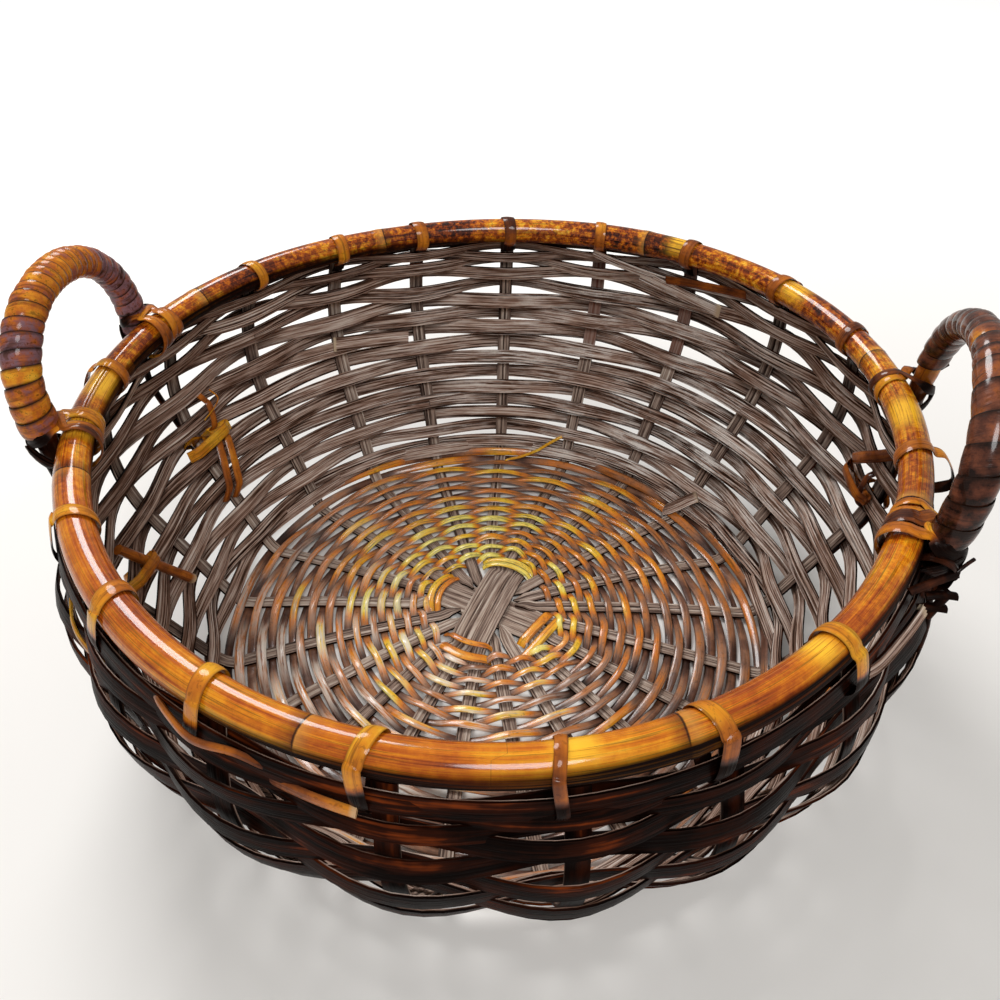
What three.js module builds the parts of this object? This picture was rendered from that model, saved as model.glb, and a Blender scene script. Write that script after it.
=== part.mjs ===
// Round wicker floor basket: radial stakes, woven base and wall, a bent cane hoop bound on at the rim,
// and two upright loop handles lashed to it. Millimetres, +Z up, the floor at z = 0.
import * as THREE from 'three';

// Rim hoop
const rimRadius = 250; // from the basket's axis to the middle of the cane
const rimHeight = 219; // from the floor to the middle of the cane
const hoopCaneDiameter = 19;
const hoopSides = 8;
const scarfSlant = 1.5; // how far the hoop's end faces lean along the cane, per millimetre of height
const scarfGap = 0.6;

// The hoop was bent by hand: a two-lobed and a three-lobed error, fading out towards the base
const ovalBend = 5.9;
const ovalBendDirection = 51.8;
const threeLobeBend = 4.1;
const threeLobeDirection = 43.2;

// Bowl, at the middle of the stakes: how far it flares beyond the base's flat part, and how far it bulges
// beyond the middle of the hoop's cane, with the heights
const baseRadius = 198;
const footFlare = 15;
const footHeight = 17.5;
const lowerFlare = 36;
const lowerHeight = 55;
const middleBulge = 13;
const middleHeight = 110;
const bellyBulge = 19;
const bellyHeight = 160;

// Stakes
const stakeCount = 21;
const firstStakeAngle = 97.2;
const stakeWidth = 9.7;
const stakeThickness = 2.6;
const stakeFlat = 4; // width of the flat along the middle of a stake's rounded face
const stakeTopAboveRim = 5;
const bundleStakeGap = 0.4;
const bundleReach = 40; // a bundle's stakes lie side by side this far out, then fan
const fanRadius = 66;
const topBundleEnd = 36; // where the upper bundle is back at the level of the lower one
const stakeTipWidth = 2;

// Weave
const seatGap = 0.45;
const crossingGap = 1; // between a weaver and the crown of a stake's rounded face
const baseWeaverWidth = 11.5;
const baseWeaverThickness = 1.6;
const baseRowPitch = 14.2;
const firstBaseRow = 72; // middle of the base's first row, from the axis
const footFlatMargin = 0.6; // how far a foot row runs flat past each side of a stake
const footRows = 2;
const wallWeaverWidth = 11.8;
const wallWeaverThickness = 2;
const wallRowPitch = 15.6;
const wallWeaverCount = 4;
const firstRowHeight = 11; // middle of the wall's first row above the floor
const spliceGap = 1.2;

// Border weaver
const borderWidth = 12;
const borderThickness = 2;
const borderDrop = 1; // middle of the border below the middle of the hoop
const borderSpliceStake = 2;

// Rim bindings
const bindingWidth = 8;
const bindingThickness = 1.4;
const bindingSideGap = 0.9;
const bindingEndGap = 1.5;

// Handles
const handleForwardAngle = 3; // both handles stand this far towards the front
const handleSpan = 144; // between the middles of a handle's legs at the rim
const handleRise = 72; // top of the core's centre line above the middle of the hoop
const handleCoreDiameter = 14;
const handleCoreSides = 8;
const legFootHeight = 66; // where a leg ends, above the floor
const legStraightAtRim = 12; // a leg stands upright this far above and below the middle of the hoop
const wrapThickness = 1.5;
const wrapTurns = 21;
const wrapTurnGap = 0.7;
const wrapStart = 8; // along the arch, from where it springs to the first turn
const stepsPerTurn = 8;

// Leg lashings
const lashingWidth = 6.4;
const lashingThickness = 1.4;
const lashingPitch = 8;
const lashingSideGap = 1.6; // between a leg and the nearest turn round the hoop
const lashingReach = 28; // from the middle of a leg to the outermost turn

// Leg ties, low on the wall
const tieHeight = 88;
const tieBarLength = 60;
const tieBarDiameter = 6;
const tieBarSides = 6;
const tieWidth = 1.8;
const tieThickness = 1.2;

const leftLegStakes = [4, 6];
const rightLegStakes = [16, 14];

const darkReed = { color: 0x3c302b, roughness: 0.7, metalness: 0 };
const glossyPeel = { color: 0xa8641f, roughness: 0.4, metalness: 0 };
const varnishedCane = { color: 0xb86a22, roughness: 0.3, metalness: 0 };
const redPeel = { color: 0x7a3a1c, roughness: 0.35, metalness: 0 };

const radians = THREE.MathUtils.degToRad;
const stakeStep = (2 * Math.PI) / stakeCount;
const stakeAngle = (number) => radians(firstStakeAngle) + number * stakeStep;
const caneRadius = hoopCaneDiameter / 2;
const coreRadius = handleCoreDiameter / 2;

const baseLift = stakeThickness / 2 + crossingGap + baseWeaverThickness / 2;
const wallLift = stakeThickness / 2 + crossingGap + wallWeaverThickness / 2;
const baseLevel = baseLift + baseWeaverThickness / 2;
const legRaise = wallLift + wallWeaverThickness / 2 + seatGap + coreRadius;
const barRaise = wallLift + wallWeaverThickness / 2 + seatGap + tieBarDiameter / 2;
const rimStakeRadius = rimRadius + caneRadius + seatGap + stakeThickness / 2;

// The bowl's outline, from the middle of the base out to the rim
const foot = new THREE.Vector2(baseRadius + footFlare, footHeight);
const lowerWall = new THREE.Vector2(baseRadius + lowerFlare, lowerHeight);
const wallSlope = (lowerWall.x - foot.x) / (lowerWall.y - foot.y);
const corner = new THREE.Vector2(foot.x - wallSlope * (foot.y - baseLevel), baseLevel);
const baseEdge = new THREE.Vector2(baseRadius, baseLevel);
const outline = new THREE.CurvePath();
outline.add(new THREE.LineCurve(new THREE.Vector2(0, baseLevel), baseEdge));
outline.add(new THREE.QuadraticBezierCurve(baseEdge, corner, foot));
outline.add(new THREE.SplineCurve([
  foot,
  lowerWall,
  new THREE.Vector2(rimRadius + middleBulge, middleHeight),
  new THREE.Vector2(rimRadius + bellyBulge, bellyHeight),
  new THREE.Vector2(rimStakeRadius, rimHeight),
]));
const outlineLengths = outline.getCurveLengths();
const footDistance = outlineLengths[1];
const rimDistance = outlineLengths[2];

function outlinePoint(distance) {
  const inside = THREE.MathUtils.clamp(distance, 0, rimDistance);
  const probe = 0.5;
  const before = outline.getPoint(Math.max(inside - probe, 0) / rimDistance);
  const after = outline.getPoint(Math.min(inside + probe, rimDistance) / rimDistance);
  const along = after.sub(before).normalize();
  const place = outline.getPoint(inside / rimDistance).addScaledVector(along, distance - inside);
  return { place, along, outward: new THREE.Vector2(along.y, -along.x) };
}

// Distance along the outline at which the wall reaches a height
function distanceAtHeight(height) {
  let low = baseRadius;
  let high = rimDistance;
  const halvings = 40;
  for (let step = 0; step < halvings; step += 1) {
    const middle = (low + high) / 2;
    if (outlinePoint(middle).place.y < height) low = middle;
    else high = middle;
  }
  return (low + high) / 2;
}

function handBend(angle) {
  const oval = ovalBend * Math.cos(2 * (angle - radians(ovalBendDirection)));
  return oval + threeLobeBend * Math.cos(3 * (angle - radians(threeLobeDirection)));
}

function around(angle, radius, height) {
  return new THREE.Vector3(radius * Math.cos(angle), radius * Math.sin(angle), height);
}

// A point on the bowl, raised off the middle of the stakes, with the direction that faces out of the bowl
function onBowl(distance, angle, raise = 0) {
  const { place, outward } = outlinePoint(distance);
  const share = THREE.MathUtils.clamp(place.y / (rimHeight - hoopCaneDiameter), 0, 1) ** 2;
  const radius = place.x + raise * outward.x + share * handBend(angle);
  return {
    point: around(angle, radius, place.y + raise * outward.y),
    outward: around(angle, outward.x, outward.y),
  };
}

// A point at the rim: out from the middle of the hoop's cane, square to it, and up from it
function atRim(angle, out, up) {
  const away = awayFromRim(angle);
  return around(angle, rimRadius + handBend(angle), rimHeight + up).addScaledVector(away, out);
}

function awayFromRim(angle) {
  const probe = 0.01;
  const before = around(angle - probe, rimRadius + handBend(angle - probe), 0);
  const along = around(angle + probe, rimRadius + handBend(angle + probe), 0).sub(before).normalize();
  return new THREE.Vector3(along.y, -along.x, 0);
}

// Sweeps a section along stations. A station has a point, an outward direction, and may scale the
// section's width or lean the section along the path.
function sweep(stations, section) {
  const last = stations.length - 1;
  const rings = stations.map((station, index) => {
    const before = stations[Math.max(index - 1, 0)].point;
    const after = stations[Math.min(index + 1, last)].point;
    const along = after.clone().sub(before).normalize();
    const outward = station.outward.clone().addScaledVector(along, -station.outward.dot(along)).normalize();
    const across = along.clone().cross(outward);
    return section.map(([side, out]) => station.point.clone()
      .addScaledVector(across, side * (station.width ?? 1))
      .addScaledVector(outward, out)
      .addScaledVector(along, side * (station.lean ?? 0)));
  });
  const sides = section.length;
  const faces = [];
  for (let ring = 0; ring < last; ring += 1) {
    for (let side = 0; side < sides; side += 1) {
      const beside = (side + 1) % sides;
      const a = ring * sides + side;
      const b = ring * sides + beside;
      const c = b + sides;
      const d = a + sides;
      faces.push(a, b, c, a, c, d);
    }
  }
  const end = last * sides;
  for (let side = 1; side < sides - 1; side += 1) {
    faces.push(0, side + 1, side);
    faces.push(end, end + side, end + side + 1);
  }
  const geometry = new THREE.BufferGeometry();
  const positions = rings.flat().flatMap((point) => point.toArray());
  geometry.setAttribute('position', new THREE.Float32BufferAttribute(positions, 3));
  geometry.setIndex(facingOut(positions, faces));
  geometry.computeVertexNormals();
  return { geometry, rings };
}

// Turns the faces over if together they enclose a negative volume
function facingOut(positions, faces) {
  const corner = (index) => new THREE.Vector3().fromArray(positions, index * 3);
  let volume = 0;
  for (let face = 0; face < faces.length; face += 3) {
    const [a, b, c] = [corner(faces[face]), corner(faces[face + 1]), corner(faces[face + 2])];
    volume += a.dot(b.cross(c));
  }
  return volume > 0 ? faces : faces.slice().reverse();
}

const band = (width, thickness) => [
  [-width / 2, -thickness / 2],
  [width / 2, -thickness / 2],
  [width / 2, thickness / 2],
  [-width / 2, thickness / 2],
];

const rod = (radius, sides) => Array.from({ length: sides }, (unused, side) => {
  const turn = (2 * Math.PI * side) / sides;
  return [radius * Math.sin(turn), radius * Math.cos(turn)];
});

const stakeSection = [
  [-stakeWidth / 2, 0],
  [-stakeFlat / 2, stakeThickness / 2],
  [stakeFlat / 2, stakeThickness / 2],
  [stakeWidth / 2, 0],
  [stakeFlat / 2, -stakeThickness / 2],
  [-stakeFlat / 2, -stakeThickness / 2],
];

const basket = new THREE.Group();

function addPiece(name, geometry, finish) {
  const mesh = new THREE.Mesh(geometry, new THREE.MeshStandardMaterial(finish));
  mesh.name = name;
  basket.add(mesh);
}

// Least distance between points of a winding that lie well over half a turn apart along it
function printTurnGap(name, rings, ringsPerTurn) {
  const turnsApart = 0.6;
  const apart = Math.ceil(ringsPerTurn * turnsApart);
  let least = Infinity;
  for (let first = 0; first < rings.length; first += 1) {
    for (let second = first + apart; second < rings.length; second += 1) {
      for (const a of rings[first]) {
        for (const b of rings[second]) least = Math.min(least, a.distanceTo(b));
      }
    }
  }
  console.log(`${name}: least gap to itself ${least.toFixed(2)} mm`);
}

// Rim hoop
const stepsPerStake = 4;
const bindingShift = (stakeWidth / 2 + bindingSideGap + bindingWidth / 2) / rimRadius;
const scarfAngle = stakeAngle(leftLegStakes[1]) + bindingShift;

function legHalfAngle() {
  const legRadius = rimRadius + legOutAtRim();
  return Math.asin(handleSpan / 2 / legRadius);
}

// A place on the border weaver as [out, up] from the middle of the hoop: up across its width, and raised off
// the middle of its thickness
function borderPlace(upWidth, raise = 0) {
  const fullRaise = stakeThickness / 2 + seatGap + borderThickness / 2 + raise;
  const { place, outward } = outlinePoint(rimDistance - borderDrop + upWidth);
  place.addScaledVector(outward, fullRaise);
  return [place.x - rimRadius, place.y - rimHeight];
}

function legOutAtRim() {
  const { place, outward } = outlinePoint(distanceAtHeight(rimHeight - legStraightAtRim));
  const besideBorder = borderPlace(-borderWidth / 2, borderThickness / 2 + seatGap + coreRadius)[0];
  return Math.max(besideBorder, place.x + outward.x * legRaise - rimRadius);
}

function addHoop() {
  const steps = stakeCount * stepsPerStake;
  const endAngle = scarfGap / 2 / rimRadius;
  const stations = [];
  for (let step = 0; step <= steps; step += 1) {
    const angle = scarfAngle + endAngle + (step / steps) * (2 * Math.PI - 2 * endAngle);
    const isEnd = step === 0 || step === steps;
    stations.push({
      point: atRim(angle, 0, 0),
      outward: awayFromRim(angle),
      lean: isEnd ? scarfSlant : 0,
    });
  }
  addPiece('rim_hoop', sweep(stations, rod(caneRadius, hoopSides)).geometry, varnishedCane);
}

// Distances along the outline where a stake bends: close together at the foot, wider apart up the wall
function wallDistances() {
  const cornerSteps = 5;
  const wallSteps = 10;
  const stakeTop = rimDistance + stakeTopAboveRim;
  const distances = [];
  for (let step = 0; step < cornerSteps; step += 1) {
    distances.push(THREE.MathUtils.mapLinear(step, 0, cornerSteps, baseRadius, footDistance));
  }
  for (let step = 0; step <= wallSteps; step += 1) {
    distances.push(THREE.MathUtils.mapLinear(step, 0, wallSteps, footDistance, stakeTop));
  }
  return distances;
}

function wallStations(angle) {
  return wallDistances().map((distance) => onBowl(distance, angle));
}

// Long stakes: two crossed bundles of three. A pair gives the stakes' places round the rim at both ends.
const upperBundle = [[0, 8], [20, 9], [19, 10]];
const lowerBundle = [[5, 13], [4, 14], [3, 15]];
const bundlePitch = stakeWidth + bundleStakeGap;
const bundleHalfWidth = (upperBundle.length * bundlePitch - bundleStakeGap) / 2;

function bundleAxis(bundle) {
  const [near, far] = bundle[1];
  const axis = around(stakeAngle(near), 1, 0).sub(around(stakeAngle(far), 1, 0));
  return Math.atan2(axis.y, axis.x);
}

function addLongStakes(bundle, climb, firstNumber) {
  const axis = bundleAxis(bundle);
  const down = new THREE.Vector3(0, 0, -1);
  bundle.forEach(([near, far], index) => {
    const side = (1 - index) * bundlePitch;
    const inBundle = (reach, raise) => ({
      point: new THREE.Vector3(
        reach * Math.cos(axis) - side * Math.sin(axis),
        reach * Math.sin(axis) + side * Math.cos(axis),
        baseLevel + raise,
      ),
      outward: down,
    });
    const fan = (number) => ({ point: around(stakeAngle(number), fanRadius, baseLevel), outward: down });
    const hump = bundleHalfWidth + seatGap + stakeThickness;
    const middle = climb > 0
      ? [inBundle(topBundleEnd, 0), inBundle(hump, climb), inBundle(-hump, climb), inBundle(-topBundleEnd, 0)]
      : [];
    const stations = [
      ...wallStations(stakeAngle(near)).reverse(),
      fan(near),
      inBundle(bundleReach, 0),
      ...middle,
      inBundle(-bundleReach, 0),
      fan(far),
      ...wallStations(stakeAngle(far)),
    ];
    addPiece(`stake_long_${firstNumber + index}`, sweep(stations, stakeSection).geometry, darkReed);
  });
}

// Short stakes: pointed inner ends that stop clear of the bundles and of each other
function addShortStakes() {
  const taken = [...upperBundle, ...lowerBundle].flat();
  const axes = [upperBundle, lowerBundle].map(bundleAxis);
  let count = 0;
  for (let number = 0; number < stakeCount; number += 1) {
    if (taken.includes(number)) continue;
    const angle = stakeAngle(number);
    const leastSlant = Math.min(...axes.map((axis) => Math.abs(Math.sin(angle - axis))));
    const clearOfBundles = (halfWidth) => (bundleHalfWidth + bundleStakeGap + halfWidth) / leastSlant;
    const clearOfOthers = (halfWidth) => (halfWidth + bundleStakeGap / 2) / Math.sin(stakeStep / 2);
    const reachFor = (halfWidth) => Math.max(clearOfBundles(halfWidth), clearOfOthers(halfWidth));
    const tipWidth = stakeTipWidth / stakeWidth;
    const shoulder = Math.min(reachFor(stakeWidth / 2) + stakeTipWidth, fanRadius);
    const flat = (reach, width) => ({
      point: around(angle, reach, baseLevel),
      outward: new THREE.Vector3(0, 0, -1),
      width,
    });
    const stations = [
      flat(reachFor(stakeTipWidth / 2) + stakeTipWidth, tipWidth),
      flat(shoulder, 1),
      ...wallStations(angle),
    ];
    count += 1;
    addPiece(`stake_short_${count}`, sweep(stations, stakeSection).geometry, darkReed);
  }
}

// A weaver passes outside one stake and inside the next. Crossings are counted from the weave's start, and
// the odd number of stakes makes each row the opposite of the last.
function crossing(weave, number) {
  const angle = stakeAngle(number);
  const distance = weave.start + (weave.pitch * number) / stakeCount;
  const raise = number % 2 === 0 ? weave.lift : -weave.lift;
  return { angle, distance, raise };
}

function weaverStations(weave, first, last) {
  const stations = [];
  for (let number = first; number <= last; number += 1) {
    const { angle, distance, raise } = crossing(weave, number);
    const isSplice = number === first || number === last;
    if (!isSplice && number < weave.flatFrom) {
      stations.push(onBowl(distance, angle, raise));
      continue;
    }
    const { x: radius } = outlinePoint(distance).place;
    const edge = (stakeWidth / 2 + footFlatMargin) / radius;
    const end = spliceGap / 2 / radius;
    stations.push(onBowl(distance, angle + (number === first ? end : -edge), raise));
    stations.push(onBowl(distance, angle + (number === last ? -end : edge), raise));
  }
  return stations;
}

function addWeaver(name, weave, first, last, finish) {
  const section = band(weave.width, weave.thickness);
  addPiece(name, sweep(weaverStations(weave, first, last), section).geometry, finish);
}

const baseWeave = {
  start: firstBaseRow,
  pitch: baseRowPitch,
  lift: baseLift,
  width: baseWeaverWidth,
  thickness: baseWeaverThickness,
};
const baseSpan = baseRadius - firstBaseRow - baseWeaverWidth / 2;
const baseCrossings = Math.floor((stakeCount * baseSpan) / baseRowPitch);
baseWeave.flatFrom = Math.max(baseCrossings - footRows * stakeCount, 1);

const wallStart = distanceAtHeight(firstRowHeight);
const undersideOfRim = rimHeight - Math.max(borderDrop + borderWidth / 2, caneRadius);
const roomForBinding = bindingThickness + 3 * seatGap;
const wallEnd = distanceAtHeight(undersideOfRim - roomForBinding) - wallWeaverWidth / 2;
const wallWeave = {
  start: wallStart - (wallRowPitch * baseCrossings) / stakeCount,
  pitch: wallRowPitch,
  lift: wallLift,
  width: wallWeaverWidth,
  thickness: wallWeaverThickness,
  flatFrom: Infinity,
};
const wallCrossings = Math.floor((stakeCount * (wallEnd - wallStart)) / wallRowPitch);

function addWeave() {
  const split = Math.round(baseCrossings / 2);
  addWeaver('base_weaver_inner', baseWeave, 0, split, glossyPeel);
  addWeaver('base_weaver_outer', baseWeave, split, baseCrossings, glossyPeel);
  for (let piece = 0; piece < wallWeaverCount; piece += 1) {
    const first = baseCrossings + 1 + Math.round((piece * (wallCrossings - 1)) / wallWeaverCount);
    const last = baseCrossings + 1 + Math.round(((piece + 1) * (wallCrossings - 1)) / wallWeaverCount);
    addWeaver(`wall_weaver_${piece + 1}`, wallWeave, first, last, darkReed);
  }
}

// Border weaver: one turn outside the tops of the stakes
function addBorder() {
  const steps = stakeCount * 2;
  const endAngle = spliceGap / 2 / rimRadius;
  const stations = [];
  for (let step = 0; step <= steps; step += 1) {
    const angle = stakeAngle(borderSpliceStake) + endAngle + (step / steps) * (2 * Math.PI - 2 * endAngle);
    const [out, up] = borderPlace(0);
    const { outward } = onBowl(rimDistance - borderDrop, angle);
    stations.push({ point: atRim(angle, out, up), outward });
  }
  addPiece('border_weaver', sweep(stations, band(borderWidth, borderThickness)).geometry, darkReed);
}

// The way that peel takes round the hoop and the border, as [out, up] from the middle of the hoop. It starts at
// the outer side and goes down, in under the cane, up its inner side and out again.
function rimLoop(thickness) {
  const reach = caneRadius + seatGap + thickness / 2;
  const slack = seatGap + thickness / 2;
  const lower = borderPlace(-borderWidth / 2, borderThickness / 2 + slack);
  const upper = borderPlace(borderWidth / 2, borderThickness / 2 + slack);
  const inner = [];
  const arcSteps = 4;
  for (let step = 0; step <= arcSteps; step += 1) {
    const turn = -Math.PI / 2 - (Math.PI * step) / arcSteps;
    inner.push([reach * Math.cos(turn), reach * Math.sin(turn)]);
  }
  return [
    lower,
    [lower[0] - 2 * slack, Math.min(lower[1] - slack, -reach)],
    ...inner,
    [upper[0] - 2 * slack, Math.max(upper[1] + slack, reach - 2 * slack)],
    upper,
  ];
}

// Middle of what a loop goes round: cane, stake and border together
const loopMiddleOut = borderPlace(0)[0] / 3;

// Rim bindings: one beside each stake that has no handle leg
function addBindings() {
  const legStakes = [...leftLegStakes, ...rightLegStakes];
  const path = rimLoop(bindingThickness);
  const slack = borderThickness / 2 + seatGap + bindingThickness / 2;
  const ends = [
    borderPlace(-bindingEndGap / 2, slack),
    ...path,
    borderPlace(bindingEndGap / 2, slack),
  ];
  let count = 0;
  for (let number = 0; number < stakeCount; number += 1) {
    if (legStakes.includes(number)) continue;
    const angle = stakeAngle(number) + bindingShift;
    const middle = atRim(angle, loopMiddleOut, 0);
    const stations = ends.map(([out, up]) => {
      const point = atRim(angle, out, up);
      return { point, outward: point.clone().sub(middle) };
    });
    count += 1;
    const name = `rim_binding_${String(count).padStart(2, '0')}`;
    addPiece(name, sweep(stations, band(bindingWidth, bindingThickness)).geometry, varnishedCane);
  }
}

// Distance along the outline of the gap between two wall rows that lies nearest a height, at a stake
function rowGapNear(height, number) {
  const turns = (distanceAtHeight(height) - wallWeave.start) / wallRowPitch;
  const phase = number / stakeCount + 0.5;
  return wallWeave.start + wallRowPitch * (Math.round(turns - phase) + phase);
}

// Legs follow the wall outside the weave. A leg meets the rim at its own angle and ends over a stake.
function makeLegs(side) {
  const facing = side === 'left' ? Math.PI : 0;
  const forward = side === 'left' ? radians(handleForwardAngle) : -radians(handleForwardAngle);
  const backward = side === 'left' ? -legHalfAngle() : legHalfAngle();
  const [backStake, frontStake] = side === 'left' ? leftLegStakes : rightLegStakes;
  const nearest = (number, angle) => {
    const turns = Math.round((angle - stakeAngle(number)) / (2 * Math.PI));
    return stakeAngle(number) + turns * 2 * Math.PI;
  };
  return [['back', backStake, 1], ['front', frontStake, -1]].map(([end, stake, sign]) => {
    const rimAngle = facing + forward + sign * backward;
    return {
      name: `${side}_${end}`,
      stake,
      rimAngle,
      footAngle: nearest(stake, rimAngle),
      tieDistance: rowGapNear(tieHeight, stake),
    };
  });
}

function legStations(leg) {
  const footDistanceOnWall = distanceAtHeight(legFootHeight);
  const underRim = distanceAtHeight(rimHeight - legStraightAtRim - coreRadius);
  const straightUntil = leg.tieDistance + handleCoreDiameter;
  const steps = 11;
  const stations = [];
  for (let step = 0; step < steps; step += 1) {
    const distance = THREE.MathUtils.mapLinear(step, 0, steps - 1, footDistanceOnWall, underRim);
    const share = THREE.MathUtils.smoothstep(distance, straightUntil, underRim);
    stations.push(onBowl(distance, THREE.MathUtils.lerp(leg.footAngle, leg.rimAngle, share), legRaise));
  }
  const underRimPoint = atRim(leg.rimAngle, legOutAtRim(), -legStraightAtRim);
  stations.push({ point: underRimPoint, outward: around(leg.rimAngle, 1, 0) });
  return stations;
}

// The arch springs upright from both legs and is half an ellipse
function archCurve(legs) {
  const springs = legs.map((leg) => atRim(leg.rimAngle, legOutAtRim(), legStraightAtRim));
  const centre = springs[0].clone().add(springs[1]).divideScalar(2);
  const towards = springs[0].clone().sub(centre);
  const rise = new THREE.Vector3(0, 0, handleRise - legStraightAtRim);
  const points = [];
  const steps = 48;
  for (let step = 0; step <= steps; step += 1) {
    const turn = (Math.PI * step) / steps;
    const point = centre.clone().addScaledVector(towards, Math.cos(turn));
    points.push(point.addScaledVector(rise, Math.sin(turn)));
  }
  const outward = new THREE.Vector3(towards.y, -towards.x, 0).normalize();
  if (outward.dot(centre) < 0) outward.negate();
  return { curve: new THREE.CatmullRomCurve3(points), outward };
}

function addHandle(side) {
  const legs = makeLegs(side);
  const { curve, outward } = archCurve(legs);
  const arch = [];
  const archSteps = 22;
  for (let step = 0; step <= archSteps; step += 1) {
    arch.push({ point: curve.getPointAt(step / archSteps), outward });
  }
  const stations = [...legStations(legs[0]), ...arch, ...legStations(legs[1]).reverse()];
  addPiece(`handle_core_${side}`, sweep(stations, rod(coreRadius, handleCoreSides)).geometry, varnishedCane);
  addWrap(side, curve, outward);
  legs.forEach((leg) => {
    addLashing(leg);
    addTie(leg);
  });
}

// Handle wrapping: one strip of peel wound along the arch as a helix
function addWrap(side, curve, outward) {
  const length = curve.getLength();
  const wound = length - 2 * wrapStart;
  const radius = (coreRadius + seatGap + wrapThickness / 2) / Math.cos(Math.PI / stepsPerTurn);
  const rise = handleRise - legStraightAtRim;
  const tightestBend = (2 * rise * rise) / handleSpan;
  const innerPitch = (wound / wrapTurns) * (1 - (radius + wrapThickness / 2) / tightestBend);
  const steps = wrapTurns * stepsPerTurn;
  const stations = [];
  for (let step = 0; step <= steps; step += 1) {
    const share = (wrapStart + (wound * step) / steps) / length;
    const along = curve.getTangentAt(share);
    const upward = along.clone().cross(outward).normalize();
    const turn = (2 * Math.PI * step) / stepsPerTurn;
    const away = outward.clone().multiplyScalar(Math.cos(turn)).addScaledVector(upward, Math.sin(turn));
    stations.push({ point: curve.getPointAt(share).addScaledVector(away, radius), outward: away });
  }
  addStraightEnds(stations, wrapThickness);
  const { geometry, rings } = sweep(stations, band(innerPitch - wrapTurnGap, wrapThickness));
  addPiece(`handle_wrap_${side}`, geometry, redPeel);
  printTurnGap(`handle_wrap_${side}`, rings, stepsPerTurn);
}

// Both ends of a winding run on straight for one thickness
function addStraightEnds(stations, thickness) {
  const extend = (end, next) => {
    const direction = end.point.clone().sub(next.point).normalize();
    return { point: end.point.clone().addScaledVector(direction, thickness), outward: end.outward };
  };
  stations.unshift(extend(stations[0], stations[1]));
  stations.push(extend(stations[stations.length - 1], stations[stations.length - 2]));
}

// Leg lashing: turns round hoop and border beside a leg, a slanting pass over the leg, and half a turn on the
// side where the leg's stake stands
function addLashing(leg) {
  const path = rimLoop(lashingThickness);
  const beside = coreRadius + lashingSideGap + lashingWidth / 2;
  const stakeShift = (leg.footAngle - leg.rimAngle) * (rimRadius + legOutAtRim());
  const clearOfStake = stakeWidth / 2 + lashingSideGap + lashingWidth / 2;
  const fitsBetween = Math.abs(stakeShift) - clearOfStake >= beside;
  const stakeSide = fitsBetween ? beside : Math.max(beside, Math.abs(stakeShift) + clearOfStake);
  const direction = stakeShift < 0 ? -1 : 1;
  const angleAt = (along) => leg.rimAngle + (direction * along) / rimRadius;
  const roundRim = (along, [out, up]) => {
    const point = atRim(angleAt(along), out, up);
    return { point, outward: point.clone().sub(atRim(angleAt(along), loopMiddleOut, 0)) };
  };
  const turnCount = Math.max(Math.floor((lashingReach - beside) / lashingPitch), 1);
  const turnPoints = turnCount * path.length;
  const turnsReach = turnCount * lashingPitch;
  const stations = [];
  for (let step = 0; step < turnPoints; step += 1) {
    const along = THREE.MathUtils.mapLinear(step, 0, turnPoints - 1, -turnsReach, 0) - beside;
    stations.push(roundRim(along, path[step % path.length]));
  }
  const passStep = radians(36);
  const passSteps = 3; // on each side of the leg's outermost line
  const passRadius = (coreRadius + seatGap + lashingThickness / 2) / Math.cos(passStep / 2);
  for (let step = -passSteps; step <= passSteps; step += 1) {
    const along = passRadius * Math.sin(step * passStep);
    const out = legOutAtRim() + passRadius * Math.cos(step * passStep);
    const share = (step + passSteps + 1) / (2 * passSteps + 2);
    const up = THREE.MathUtils.lerp(path[path.length - 1][1], path[0][1], share);
    const point = atRim(angleAt(along), out, up);
    stations.push({ point, outward: point.clone().sub(atRim(angleAt(0), legOutAtRim(), up)) });
  }
  const halfTurn = Math.ceil(path.length / 2);
  for (let step = 0; step < halfTurn; step += 1) stations.push(roundRim(stakeSide, path[step]));
  addStraightEnds(stations, lashingThickness);
  const { geometry, rings } = sweep(stations, band(lashingWidth, lashingThickness));
  addPiece(`leg_lashing_${leg.name}`, geometry, varnishedCane);
  printTurnGap(`leg_lashing_${leg.name}`, rings, path.length);
}

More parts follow.
